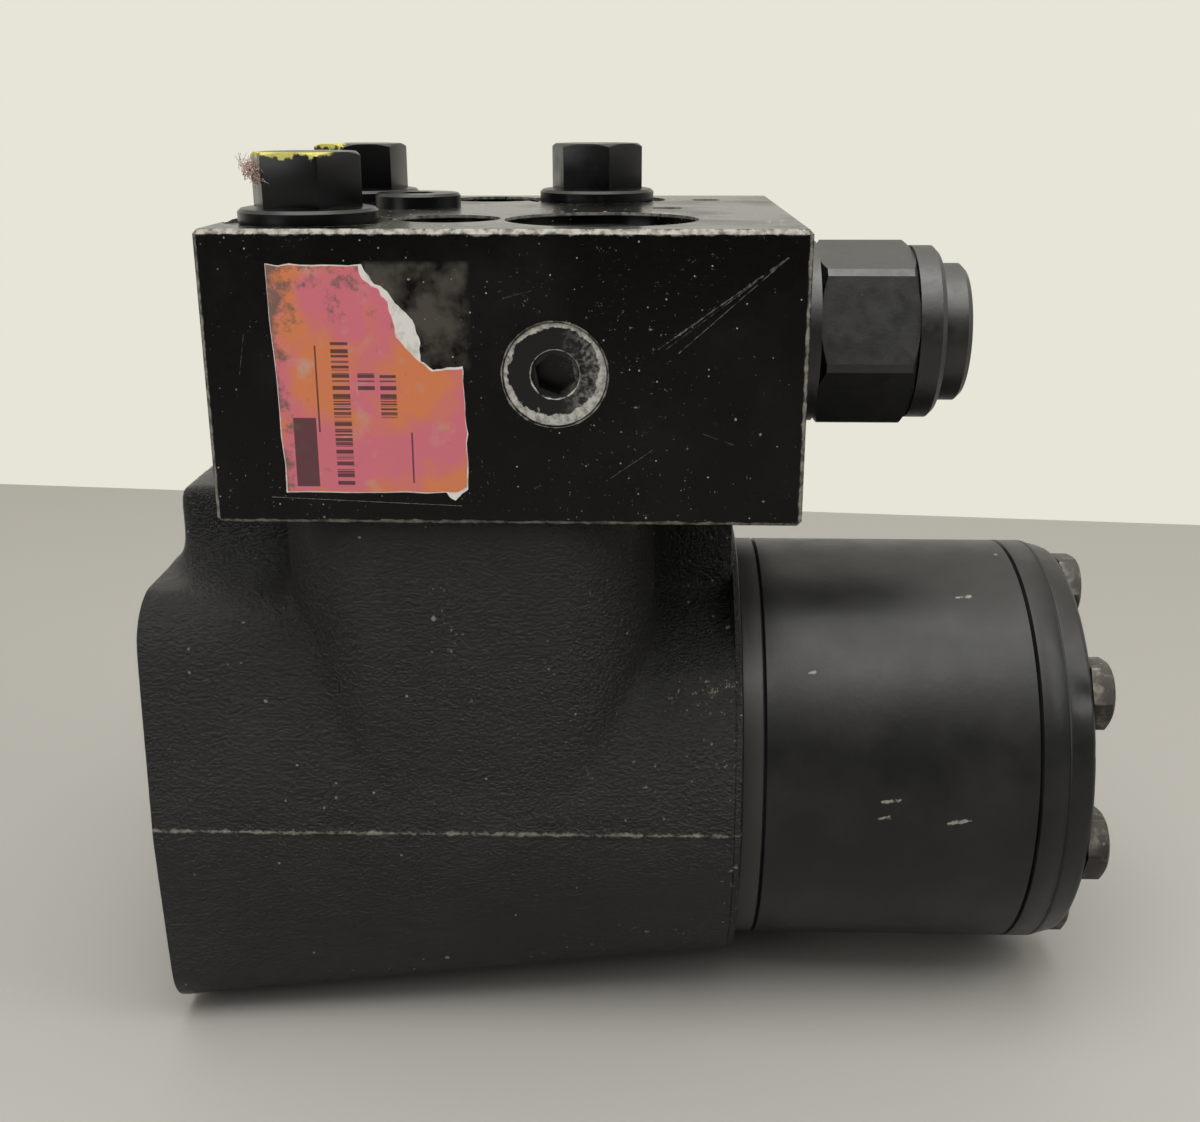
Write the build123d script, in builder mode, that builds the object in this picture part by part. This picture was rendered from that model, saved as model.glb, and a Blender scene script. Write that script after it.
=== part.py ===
# Orbital steering unit: a spool-and-sleeve valve and a gerotor motor in one line,
# with a ported manifold block bolted on the housing's port face.
# Millimetres. X runs along the steering axis from the mounting face to the gerotor,
# +Y goes to the back of the unit and +Z to the port face.
# The origin is the centre of the mounting face.
from build123d import *
from math import atan, atan2, cos, hypot, pi, radians, sin, sqrt, tan
import os

os.makedirs("parts", exist_ok=True)

# ---- lengths along the steering axis ----
housing_length = 113.0
spacer_thickness = 4.5
stator_length = 52.5
cap_thickness = 10.7
cap_taper_length = 5.5
cap_taper_drop = 1.2
cap_rim_fillet = 1.5

spacer_start = housing_length
stator_start = spacer_start + spacer_thickness
cap_start = stator_start + stator_length
cap_end = cap_start + cap_thickness

# ---- clearances ----
running_clearance = 0.05
seat_clearance = 0.05
end_clearance = 0.3
screw_clearance = 0.2

# ---- housing casting ----
barrel_radius = 42.8
parting_height = -3.0
parting_half_width = 47.6
shoulder_height = 45.0
shoulder_half_width = 44.8
base_depth = 44.0
base_half_width = 45.0
mount_end_corner = 11.0
rim_radius = 46.2
rim_width = 1.3
far_end_flat = 0.8
boss_start = 26.0
boss_end = 96.0
boss_half_width = 46.3
boss_corner = 18.0
boss_blend = 3.0
port_face_height = 61.5
neck_start = 1.0
neck_half_width = 17.5
neck_drop = 2.0
neck_rounding = 2.0
neck_foot_radius = 7.0
neck_foot_sink = 3.0
shelf_foot_height = 39.7
shelf_slope = 29.0
edge_break = 1.0

# ---- mounting face ----
mount_circle_radius = 41.25
mount_thread_radius = 5.0
mount_hole_depth = 18.0
mount_hole_count = 4

# ---- valve bore ----
sleeve_radius = 19.0
sleeve_bore_radius = 14.5
gland_radius = 21.5
gland_depth = 18.2
ring_groove_start = 2.0
ring_groove_width = 1.6
ring_groove_radius = 23.0
ring_reach = 3.5
ring_gap = 6.0

# ---- gerotor ----
ring_lobes = 7
first_lobe = 90.0
orbit_radius = 2.8
lobe_centre_radius = 29.7
lobe_radius = 8.0
valley_clearance = 0.15
star_arcs_per_lobe = 8
valley_crowding = 0.5
star_side_clearance = 0.05

# ---- drive ----
pin_setback = 23.0
pin_radius = 4.0
spline_inset = 20.5
spline_length = 14.0
spline_teeth = 12
spline_root_radius = 10.4
spline_tip_radius = 8.2
spline_tooth_width = 1.6
spline_play = 0.5
shaft_radius = 6.4
shaft_head_radius = 9.4
fork_length = 7.0
fork_play = 0.7
shaft_tail = 1.5
fork_rounding = 1.5

# ---- input end of the spool ----
spool_neck_radius = 12.7
spool_end = 1.5
input_socket_depth = 28.0
input_teeth = 12
input_root_radius = 9.9
input_tip_radius = 8.4
input_tooth_width = 1.8
spool_bore_radius = 10.6
spool_bore_start = 41.0
spool_tail_setback = 9.0
spool_bore_wall_step = 2.0
spool_turn = 9.0

# ---- valve drillings ----
sleeve_hole_radius = 1.6
sleeve_hole_count = 12
sleeve_hole_rows = (52.0, 76.0)
spool_slot_count = 6
spool_slot_width = 3.0
spool_slot_length = 20.0
spool_slot_depth = 1.4
spool_slot_station = 64.0
chamber_port_radius = 2.4
chamber_port_circle = 24.4
chamber_port_depth = 14.0

# ---- centring springs ----
spring_station = 35.0
spring_width = 4.6
leaf_thickness = 0.5
leaf_bow = 1.15
spring_slot_play = 0.2
leaf_sides = {1: Align.MIN, -1: Align.MAX}

# ---- end cap screws ----
screw_circle_radius = 34.5
screw_radius = 3.97
screw_head_flats = 12.7
screw_head_top_share = 0.96
screw_head_height = 4.5
screw_head_turn = 4.0
screw_engagement = 16.0
screw_tip_gap = 2.0
head_chamfer_angle = 30.0

# ---- body seals ----
seal_circle_radius = 28.95
seal_width = 1.5
seal_depth = 1.2

# ---- gland at the input end ----
race_thickness = 1.2
needle_radius = 1.0
needle_count = 16
needle_length = 5.4
needle_circle = 16.6
cage_wall = 0.7
dust_seal_length = 2.4
shaft_seal_length = 3.4
shaft_seal_width = 3.0

# ---- inlet check valve ----
check_ball_radius = 4.0
check_travel = 1.5
check_seat_height = 4.0
check_seat_hole_radius = 2.6

# ---- port pattern on the port face ----
port_pitch_x = 32.0
port_pitch_y = 36.0
port_hole_radius = 5.2
port_hole_depth = 18.0
port_seal_outer = 8.6
port_seal_inner = 6.6
port_seal_depth = 1.6

# ---- manifold block ----
block_start = 18.2
block_length = 103.4
block_width = 96.8
block_height = 50.8
block_chamfer = 0.8

# ---- hex plugs on the block ----
plug_flats = 17.46
plug_hex_height = 10.2
plug_flange_radius = 12.4
plug_flange_height = 2.2
plug_thread_radius = 7.1
plug_thread_length = 11.0
plug_bore_depth = 16.0
plug_spotface_radii = (15.0, 12.6, 15.0)
plug_spotface_depth = 0.5
plug_seal_radius = 8.9
plug_seal_depth = 1.8
plug_head_turns = (-9.0, 19.0, -13.0)
plug_flange_chamfer = 0.6
front_plug_from_near_end = 15.5
front_plug_from_front = 18.9
back_plug_from_near_end = 13.0
back_plug_from_back = 15.4
far_plug_from_near_end = 64.8
far_plug_from_back = 16.4

# ---- open port ----
open_port_from_near_end = 67.7
open_port_from_front = 22.8
open_port_spotface_radius = 17.5
open_port_spotface_depth = 2.0
open_port_thread_radius = 10.3
open_port_thread_depth = 18.0
open_port_drill_radius = 7.0
open_port_drill_depth = 34.0

# ---- low socket plug and small holes ----
low_plug_from_near_end = 28.6
low_plug_from_back = 36.4
low_plug_radius = 8.75
low_plug_height = 2.6
low_plug_thread_radius = 5.5
low_plug_thread_length = 9.0
low_plug_socket_flats = 6.35
low_plug_socket_depth = 5.0
small_hole_radius = 3.1
small_hole_depth = 9.0
near_hole_from_near_end = 79.8
near_hole_from_back = 44.0
far_hole_from_near_end = 88.6
far_hole_from_back = 17.4

# ---- manifold screws ----
front_screw_offset = -3.0
front_screw_y = -24.5
back_screw_offset = -0.5
back_screw_y = 34.0
block_screw_radius = 5.0
block_screw_head_radius = 8.0
block_screw_head_height = 10.0
block_screw_socket_flats = 8.0
block_screw_socket_depth = 5.0
block_screw_engagement = 14.0
block_counterbore_radius = 9.5
block_counterbore_depth = 11.5

# ---- socket plug in the front face ----
face_plug_from_near_end = 60.4
face_plug_from_top = 24.2
face_plug_radius = 8.9
face_plug_length = 11.0
face_plug_inset = 0.3
face_plug_rim = 1.2
face_plug_socket_flats = 7.94
face_plug_socket_depth = 5.5

# ---- relief cartridge ----
cartridge_from_front = 44.4
cartridge_from_top = 23.3
cartridge_nose_radius = 13.0
cartridge_nose_length = 27.0
cartridge_collar_radius = 17.6
cartridge_collar_length = 5.3
cartridge_flats = 32.0
cartridge_hex_length = 18.6
cartridge_hex_corner_radius = 18.0
cartridge_hex_turn = 14.0
hex_end_chamfer = 1.2
hex_end_drop = 1.9
cartridge_stub_length = 4.0
cartridge_shoulder_radius = 16.8
cartridge_shoulder_length = 5.0
cartridge_cap_radius = 13.4
cartridge_cap_length = 5.5
cartridge_bore_radius = 6.5
cartridge_seat_length = 3.0
cartridge_seat_radius = 3.6
cartridge_seal_width = 2.4
cartridge_seal_depth = 1.8
cartridge_seal_setback = 7.2
poppet_length = 13.0
poppet_cone_length = 4.0
poppet_cone_drop = 2.5
poppet_rod_radius = 3.0
poppet_rod_length = 6.0
spring_wire = 1.6
spring_coil_radius = 4.6
spring_turns = 5

# ---- worked-out places ----
pin_station = housing_length - pin_setback
spline_station = stator_start + spline_inset
spool_tail = housing_length - spool_tail_setback
neck_height = port_face_height - neck_drop
block_end = block_start + block_length
block_top = port_face_height + block_height
block_back = block_width / 2
block_front = -block_back
pump_count = ring_lobes - 1
lobe_pitch = 360.0 / ring_lobes
port_centre_x = (boss_start + boss_end) / 2
port_places = [
    (port_centre_x + side_x * port_pitch_x / 2, side_y * port_pitch_y / 2)
    for side_x in (-1, 1)
    for side_y in (-1, 1)
]
plug_places = (
    (block_start + front_plug_from_near_end, block_front + front_plug_from_front),
    (block_start + back_plug_from_near_end, block_back - back_plug_from_back),
    (block_start + far_plug_from_near_end, block_back - far_plug_from_back),
)
open_port_place = (block_start + open_port_from_near_end, block_front + open_port_from_front)
low_plug_place = (block_start + low_plug_from_near_end, block_back - low_plug_from_back)
small_hole_places = (
    (block_start + near_hole_from_near_end, block_back - near_hole_from_back),
    (block_start + far_hole_from_near_end, block_back - far_hole_from_back),
)
block_screw_places = (
    (port_centre_x + front_screw_offset, front_screw_y),
    (port_centre_x + back_screw_offset, back_screw_y),
)
face_plug_place = (block_start + face_plug_from_near_end, block_top - face_plug_from_top)
cartridge_y = block_front + cartridge_from_front
cartridge_z = block_top - cartridge_from_top
lobe_pattern = PolarLocations(screw_circle_radius, ring_lobes, start_angle=first_lobe, rotate=False)
chamber_pattern = PolarLocations(
    chamber_port_circle, ring_lobes, start_angle=first_lobe + lobe_pitch / 2
)

rim_start = housing_length - rim_width
shelf_start = boss_end - boss_corner
shelf_width = 2 * rim_radius - neck_half_width
shelf_edge_height = shelf_foot_height - shelf_width * tan(radians(shelf_slope))
neck_foot_reach = neck_foot_radius * (1 - sqrt(0.5))
neck_foot_middle = neck_half_width + neck_foot_reach
neck_foot_middle_height = shoulder_height + neck_foot_reach

sleeve_race_end = gland_depth - 2 * seat_clearance
sleeve_race_start = sleeve_race_end - race_thickness
needle_station = sleeve_race_start - seat_clearance - needle_radius
bushing_end = needle_station - needle_radius - seat_clearance - race_thickness
bushing_start = ring_groove_start + ring_groove_width + seat_clearance
neck_bore_radius = spool_neck_radius + running_clearance
seal_pocket_radius = spool_neck_radius + shaft_seal_width
race_inner_radius = spool_neck_radius + end_clearance
race_outer_radius = needle_circle + needle_length / 2 + cage_wall
ring_inner_radius = gland_radius - ring_reach

sleeve_start = sleeve_race_end + seat_clearance
sleeve_end = housing_length - end_clearance
spool_shoulder = sleeve_start + end_clearance
pin_window_half = pin_radius + sleeve_bore_radius * sin(radians(spool_turn)) + end_clearance
leaf_half_length = sleeve_radius - 2 * end_clearance
spring_slot_width = 2 * (leaf_bow + 2 * leaf_thickness + spring_slot_play)
spacer_bore_radius = spool_bore_radius + spool_bore_wall_step

drive_reach = hypot(spline_station - pin_station, orbit_radius)
drive_lean = atan2(orbit_radius, spline_station - pin_station)
lobe_y = cos(radians(first_lobe))
lobe_z = sin(radians(first_lobe))
drive_plane = Plane(
    origin=(pin_station, 0, 0),
    x_dir=(0, lobe_z, -lobe_y),
    z_dir=(cos(drive_lean), sin(drive_lean) * lobe_y, sin(drive_lean) * lobe_z),
)
fork_slot_end = fork_length + pin_radius + fork_play
tooth_pitch = 360.0 / spline_teeth
half_pitch = radians(tooth_pitch / 2)
tooth_gap = spline_tip_radius * sin(half_pitch) - spline_tooth_width / 2 * cos(half_pitch)
shaft_tooth_width = 2 * (tooth_gap - spline_play)
star_tooth_root = spline_root_radius + edge_break / 2
spacer_puck_start = spline_station + spline_length / 2 + shaft_tail + edge_break
spacer_puck_end = cap_start - end_clearance
valley_radius = lobe_centre_radius + 2 * orbit_radius - lobe_radius + valley_clearance

check_x = port_centre_x - port_pitch_x / 2
check_y = -port_pitch_y / 2
check_ball_z = port_face_height - port_hole_depth + check_ball_radius + end_clearance
check_contact_height = sqrt(check_ball_radius**2 - check_seat_hole_radius**2)
check_seat_bottom = check_ball_z + check_travel + check_contact_height + 2 * seat_clearance

plug_names = ("front_port_plug", "back_port_plug", "far_port_plug")
plug_seat = block_top - plug_spotface_depth
block_screw_seat = block_top - block_counterbore_depth
cap_face_radius = barrel_radius - cap_taper_drop
screw_length = cap_end - housing_length + screw_engagement
head_top_radius = screw_head_top_share * screw_head_flats / 2
head_cone_radius = head_top_radius + screw_head_height / tan(radians(head_chamfer_angle))

nose_start = block_end - cartridge_nose_length
hex_start = block_end + cartridge_collar_length
hex_end = hex_start + cartridge_hex_length
seal_start = block_end - cartridge_seal_setback
poppet_seat = nose_start + cartridge_seat_length
poppet_start = poppet_seat + 2 * seat_clearance
poppet_radius = cartridge_bore_radius - running_clearance
poppet_tip_radius = poppet_radius - poppet_cone_drop
poppet_back = poppet_start + poppet_length
spring_start = poppet_back + spring_wire / 2 + seat_clearance
spring_end = hex_end - cartridge_stub_length - spring_wire / 2 - seat_clearance
spring_length = spring_end - spring_start
cartridge_axis = Axis((0, cartridge_y, cartridge_z), (1, 0, 0))
cartridge_side = Plane(origin=(0, cartridge_y, cartridge_z), x_dir=(1, 0, 0), z_dir=(0, -1, 0))


def across(station):
    """The plane square to the steering axis at a station."""
    return Plane.YZ.offset(station)


def level(height):
    """The level plane at a height."""
    return Plane.XY.offset(height)


def ring_profile(start, end, inner, outer):
    """A rectangle in the XZ plane that revolves about the steering axis into a ring."""
    with Locations(((start + end) / 2, (inner + outer) / 2)):
        Rectangle(end - start, outer - inner)


def cartridge_plane(station):
    """The plane square to the cartridge's axis at a station."""
    return Plane(origin=(station, cartridge_y, cartridge_z), x_dir=(0, 1, 0), z_dir=(1, 0, 0))


def orbit_plane(station):
    """The plane square to the steering axis, centred on the star's axis, x to the first lobe."""
    centre = (station, orbit_radius * lobe_y, orbit_radius * lobe_z)
    return Plane(origin=centre, x_dir=(0, lobe_y, lobe_z), z_dir=(1, 0, 0))


def spline_tooth(inner, outer, width, mode):
    """One straight-sided spline tooth between two radii."""
    with Locations(((inner + outer) / 2, 0)):
        Rectangle(outer - inner, width, mode=mode)


def body_outline(middle, upper, lower, top, bottom):
    """Half widths at the parting line, top and bottom of the body make its outline."""
    Polygon(
        (middle, parting_height),
        (upper, top),
        (-upper, top),
        (-middle, parting_height),
        (-lower, -bottom),
        (lower, -bottom),
        align=None,
    )


def end_corners(outline):
    """The upper and lower corners of a body outline."""
    heights = outline.vertices().group_by(Axis.Z)
    return heights[0] + heights[-1]


def seal_groove():
    """The ring-shaped outline of a body seal's groove."""
    Circle(seal_circle_radius + seal_width / 2)
    Circle(seal_circle_radius - seal_width / 2, mode=Mode.SUBTRACT)


def star_points():
    """Points round the star: the curve that rolls inside the ring's lobes and touches them all."""
    reach = lobe_centre_radius
    rolled = lobe_radius + star_side_clearance
    count = 2 * pump_count * star_arcs_per_lobe
    points = []
    for step in range(count):
        u = 2 * pi * step / count
        t = u - valley_crowding * sin(pump_count * u) / pump_count
        turn = atan(
            sin((1 - ring_lobes) * t)
            / (reach / (orbit_radius * ring_lobes) - cos((1 - ring_lobes) * t))
        )
        along = reach * cos(t) - rolled * cos(t + turn) - orbit_radius * cos(ring_lobes * t)
        aside = -reach * sin(t) + rolled * sin(t + turn) + orbit_radius * sin(ring_lobes * t)
        points.append((along, aside))
    return points


# ================= housing =================
with BuildPart() as housing:
    # body, drafted both ways from the parting line and rounder towards the gerotor
    with BuildSketch(across(0)) as mount_end:
        body_outline(
            parting_half_width, shoulder_half_width, base_half_width, shoulder_height, base_depth
        )
        fillet(end_corners(mount_end), mount_end_corner)
    with BuildSketch(across(rim_start)) as far_end:
        body_outline(rim_radius, rim_radius, rim_radius, rim_radius, rim_radius)
        fillet(end_corners(far_end), rim_radius - far_end_flat)
    loft()
    # sloping shelf between the boss and the rim
    for side in (1, -1):
        with BuildSketch(across(shelf_start)):
            with BuildLine():
                Polyline(
                    (side * neck_half_width, port_face_height),
                    (side * neck_half_width, shelf_foot_height),
                    (side * 2 * rim_radius, shelf_edge_height),
                    (side * 2 * rim_radius, port_face_height),
                    close=True,
                )
            make_face()
        extrude(amount=rim_start - shelf_start, mode=Mode.SUBTRACT)
    # port boss, and the neck that runs through it
    with BuildSketch(level(0)) as boss_plan:
        with Locations((port_centre_x, 0)):
            RectangleRounded(boss_end - boss_start, 2 * boss_half_width, boss_corner)
        with Locations(((neck_start + rim_start) / 2, 0)):
            Rectangle(rim_start - neck_start, 2 * neck_half_width)
        inside_corners = [
            corner
            for corner in boss_plan.vertices()
            if boss_start <= corner.X <= boss_end and abs(corner.Y) < neck_half_width + edge_break
        ]
        fillet(inside_corners, boss_blend)
    extrude(amount=neck_height)
    neck_edges = housing.edges().filter_by(Axis.X)
    fillet(neck_edges.filter_by_position(Axis.Z, neck_height - edge_break, neck_height), neck_rounding)
    with BuildSketch(level(0)):
        with Locations((port_centre_x, 0)):
            RectangleRounded(boss_end - boss_start, 2 * boss_half_width, boss_corner)
    extrude(amount=port_face_height)
    # flared foot of the neck on the mounting end
    for side in (1, -1):
        with BuildSketch(across(neck_start)):
            with BuildLine():
                flare = ThreePointArc(
                    (side * neck_half_width, shoulder_height + neck_foot_radius),
                    (side * neck_foot_middle, neck_foot_middle_height),
                    (side * (neck_half_width + neck_foot_radius), shoulder_height),
                )
                Polyline(
                    flare @ 1,
                    (side * (neck_half_width + neck_foot_radius), shoulder_height - neck_foot_sink),
                    (side * neck_half_width, shoulder_height - neck_foot_sink),
                    flare @ 0,
                )
            make_face()
        extrude(amount=boss_start + boss_corner - neck_start)
    # turned rim that the spacer plate seats on
    with BuildSketch(across(rim_start)):
        Circle(rim_radius)
    extrude(amount=rim_width)
    # valve bore, gland and snap-ring groove
    with BuildSketch(Plane.XZ):
        ring_profile(0, housing_length, 0, sleeve_radius + running_clearance)
        ring_profile(0, gland_depth, 0, gland_radius + seat_clearance)
        ring_profile(ring_groove_start, ring_groove_start + ring_groove_width, 0, ring_groove_radius)
    revolve(axis=Axis.X, mode=Mode.SUBTRACT)
    # mounting threads
    with BuildSketch(across(0)):
        with PolarLocations(mount_circle_radius, mount_hole_count, start_angle=45):
            Circle(mount_thread_radius)
    extrude(amount=mount_hole_depth, mode=Mode.SUBTRACT)
    # cap screw threads and chamber ports in the gerotor face
    with BuildSketch(across(housing_length)):
        with lobe_pattern:
            Circle(screw_radius + seat_clearance)
    extrude(amount=-(screw_engagement + screw_tip_gap), mode=Mode.SUBTRACT)
    with BuildSketch(across(housing_length)):
        with chamber_pattern:
            Circle(chamber_port_radius)
    extrude(amount=-chamber_port_depth, mode=Mode.SUBTRACT)
    # ports, check valve seat and manifold screw threads in the port face
    with BuildSketch(level(port_face_height)):
        with Locations(*port_places):
            Circle(port_hole_radius)
        with Locations(*block_screw_places):
            Circle(block_screw_radius + seat_clearance)
    extrude(amount=-port_hole_depth, mode=Mode.SUBTRACT)
housing.part.label = "housing"
export_step(housing.part, "parts/housing.step")


# ================= sleeve =================
with BuildPart() as sleeve:
    with BuildSketch(Plane.XZ):
        ring_profile(sleeve_start, sleeve_end, sleeve_bore_radius + running_clearance, sleeve_radius)
    revolve(axis=Axis.X)
    chamfer(sleeve.edges().filter_by(GeomType.CIRCLE), edge_break / 2)
    # cross pin holes
    with BuildSketch(Plane.XZ):
        with Locations((pin_station, 0)):
            Circle(pin_radius + seat_clearance)
    extrude(amount=sleeve_radius, both=True, mode=Mode.SUBTRACT)
    # slot for the centring springs
    with BuildSketch(level(0)):
        with Locations((spring_station, 0)):
            Rectangle(spring_width + 2 * spring_slot_play, spring_slot_width)
    extrude(amount=sleeve_radius, both=True, mode=Mode.SUBTRACT)
    # metering holes
    for row in sleeve_hole_rows:
        with Locations(across(row)):
            with PolarLocations(sleeve_radius, sleeve_hole_count):
                with Locations(Location((0, 0, 0), (0, 90, 0))):
                    Cylinder(sleeve_hole_radius, sleeve_radius, mode=Mode.SUBTRACT)
sleeve.part.label = "sleeve"
export_step(sleeve.part, "parts/sleeve.step")

# ================= spool =================
with BuildPart() as spool:
    with BuildSketch(Plane.XZ):
        ring_profile(spool_end, spool_shoulder, 0, spool_neck_radius)
        ring_profile(spool_shoulder, spool_tail, 0, sleeve_bore_radius)
    revolve(axis=Axis.X)
    # splined input socket
    with BuildSketch(across(spool_end)):
        Circle(input_root_radius)
        with PolarLocations(0, input_teeth):
            spline_tooth(input_tip_radius, input_root_radius, input_tooth_width, Mode.SUBTRACT)
    extrude(amount=input_socket_depth, mode=Mode.SUBTRACT)
    # drive bore
    with BuildSketch(across(spool_bore_start)):
        Circle(spool_bore_radius)
    extrude(amount=spool_tail - spool_bore_start, mode=Mode.SUBTRACT)
    # clearance windows for the cross pin
    with BuildSketch(Plane.XZ):
        with Locations((pin_station, 0)):
            Rectangle(2 * (pin_radius + end_clearance), 2 * pin_window_half)
    extrude(amount=sleeve_radius, both=True, mode=Mode.SUBTRACT)
    # slot for the centring springs
    with BuildSketch(level(0)):
        with Locations((spring_station, 0)):
            Rectangle(spring_width + 2 * spring_slot_play, spring_slot_width)
    extrude(amount=sleeve_radius, both=True, mode=Mode.SUBTRACT)
    # metering slots in the land
    with Locations(across(spool_slot_station)):
        with PolarLocations(sleeve_bore_radius, spool_slot_count):
            Box(2 * spool_slot_depth, spool_slot_width, spool_slot_length, mode=Mode.SUBTRACT)
spool.part.label = "spool"
export_step(spool.part, "parts/spool.step")

# ================= centring springs =================
with BuildPart() as centring_springs:
    with BuildSketch(across(spring_station - spring_width / 2)):
        for side in (1, -1):
            with Locations((side * (leaf_bow + leaf_thickness), 0)):
                Rectangle(
                    leaf_thickness, 2 * leaf_half_length, align=(leaf_sides[side], Align.CENTER)
                )
            with BuildLine():
                inner = ThreePointArc(
                    (side * leaf_bow, -leaf_half_length),
                    (0, 0),
                    (side * leaf_bow, leaf_half_length),
                )
                outer = ThreePointArc(
                    (side * (leaf_bow + leaf_thickness), -leaf_half_length),
                    (side * leaf_thickness, 0),
                    (side * (leaf_bow + leaf_thickness), leaf_half_length),
                )
                Line(inner @ 0, outer @ 0)
                Line(inner @ 1, outer @ 1)
            make_face()
    extrude(amount=spring_width)
centring_springs.part.label = "centring_springs"
export_step(centring_springs.part, "parts/centring_springs.step")

# ================= cross pin =================
with BuildPart() as cross_pin:
    with BuildSketch(Plane.XZ):
        with Locations((pin_station, 0)):
            Circle(pin_radius)
    extrude(amount=sleeve_radius - end_clearance, both=True)
    chamfer(cross_pin.edges().filter_by(GeomType.CIRCLE), edge_break / 2)
cross_pin.part.label = "cross_pin"
export_step(cross_pin.part, "parts/cross_pin.step")

# ================= drive shaft =================
with BuildPart() as drive_shaft:
    with BuildSketch(drive_plane.offset(-fork_length)):
        Circle(shaft_head_radius)
    extrude(amount=2 * fork_length)
    fillet(drive_shaft.edges().filter_by(GeomType.CIRCLE), fork_rounding)
    with BuildSketch(drive_plane):
        Circle(shaft_radius)
    extrude(amount=drive_reach + spline_length / 2 + shaft_tail)
    with BuildSketch(drive_plane.offset(drive_reach - spline_length / 2)):
        Circle(spline_tip_radius - spline_play)
        with PolarLocations(0, spline_teeth, start_angle=tooth_pitch / 2):
            spline_tooth(
                shaft_radius, spline_root_radius - spline_play, shaft_tooth_width, Mode.ADD
            )
    extrude(amount=spline_length)
    # fork that straddles the cross pin
    with BuildSketch(Plane(origin=drive_plane.origin, x_dir=drive_plane.z_dir, z_dir=(0, 1, 0))):
        with Locations((fork_slot_end / 2 - fork_length, 0)):
            Rectangle(fork_slot_end, 2 * (pin_radius + fork_play))
    extrude(amount=2 * shaft_head_radius, both=True, mode=Mode.SUBTRACT)
drive_shaft.part.label = "drive_shaft"
export_step(drive_shaft.part, "parts/drive_shaft.step")

# ================= drive spacer =================
with BuildPart() as drive_spacer:
    with BuildSketch(orbit_plane(spacer_puck_start)):
        Circle(spline_root_radius - running_clearance)
    extrude(amount=spacer_puck_end - spacer_puck_start)
    chamfer(drive_spacer.edges().filter_by(GeomType.CIRCLE), edge_break)
drive_spacer.part.label = "drive_spacer"
export_step(drive_spacer.part, "parts/drive_spacer.step")

# ================= gland pieces at the input end =================
with BuildPart() as retaining_ring:
    with BuildSketch(across(ring_groove_start)):
        Circle(ring_groove_radius - seat_clearance)
        Circle(ring_inner_radius, mode=Mode.SUBTRACT)
        with Locations((0, ring_groove_radius)):
            Rectangle(ring_gap, 2 * ring_gap, mode=Mode.SUBTRACT)
    extrude(amount=ring_groove_width)
retaining_ring.part.label = "retaining_ring"
export_step(retaining_ring.part, "parts/retaining_ring.step")

with BuildPart() as gland_bushing:
    with BuildSketch(Plane.XZ):
        ring_profile(bushing_start, bushing_end, neck_bore_radius, gland_radius)
    revolve(axis=Axis.X)
    with BuildSketch(Plane.XZ):
        ring_profile(bushing_start, bushing_start + dust_seal_length, 0, seal_pocket_radius)
        ring_profile(bushing_end - shaft_seal_length, bushing_end, 0, seal_pocket_radius)
    revolve(axis=Axis.X, mode=Mode.SUBTRACT)
gland_bushing.part.label = "gland_bushing"
export_step(gland_bushing.part, "parts/gland_bushing.step")

with BuildPart() as dust_seal:
    with BuildSketch(Plane.XZ):
        ring_profile(bushing_start, bushing_start + dust_seal_length, neck_bore_radius, seal_pocket_radius)
    revolve(axis=Axis.X)
dust_seal.part.label = "dust_seal"
export_step(dust_seal.part, "parts/dust_seal.step")

with BuildPart() as shaft_seal:
    with BuildSketch(Plane.XZ):
        ring_profile(bushing_end - shaft_seal_length, bushing_end, neck_bore_radius, seal_pocket_radius)
    revolve(axis=Axis.X)
shaft_seal.part.label = "shaft_seal"
export_step(shaft_seal.part, "parts/shaft_seal.step")

with BuildPart() as fixed_race:
    with BuildSketch(Plane.XZ):
        ring_profile(bushing_end, bushing_end + race_thickness, race_inner_radius, race_outer_radius)
    revolve(axis=Axis.X)
fixed_race.part.label = "fixed_race"
export_step(fixed_race.part, "parts/fixed_race.step")

with BuildPart() as turning_race:
    with BuildSketch(Plane.XZ):
        ring_profile(sleeve_race_start, sleeve_race_end, race_inner_radius, race_outer_radius)
    revolve(axis=Axis.X)
turning_race.part.label = "turning_race"
export_step(turning_race.part, "parts/turning_race.step")

with BuildPart() as needle_cage:
    with BuildSketch(across(needle_station - cage_wall)):
        Circle(race_outer_radius - cage_wall)
        Circle(race_inner_radius + cage_wall, mode=Mode.SUBTRACT)
        with PolarLocations(needle_circle, needle_count):
            Rectangle(
                needle_length + 2 * seat_clearance,
                2 * (needle_radius + seat_clearance),
                mode=Mode.SUBTRACT,
            )
    extrude(amount=2 * cage_wall)
needle_cage.part.label = "needle_cage"
export_step(needle_cage.part, "parts/needle_cage.step")

with BuildPart() as needles:
    with Locations(across(needle_station)):
        with PolarLocations(needle_circle, needle_count):
            with Locations(Location((0, 0, 0), (0, 90, 0))):
                Cylinder(needle_radius, needle_length)
needles.part.label = "needles"
export_step(needles.part, "parts/needles.step")

# ================= inlet check valve =================
with BuildPart() as check_ball:
    with Locations((check_x, check_y, check_ball_z)):
        Sphere(check_ball_radius)
check_ball.part.label = "check_ball"
export_step(check_ball.part, "parts/check_ball.step")

with BuildPart() as check_seat:
    with BuildSketch(level(check_seat_bottom)):
        with Locations((check_x, check_y)):
            Circle(port_hole_radius - seat_clearance)
            RegularPolygon(check_seat_hole_radius, 6, major_radius=False, mode=Mode.SUBTRACT)
    extrude(amount=check_seat_height)
check_seat.part.label = "check_seat"
export_step(check_seat.part, "parts/check_seat.step")

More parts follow.
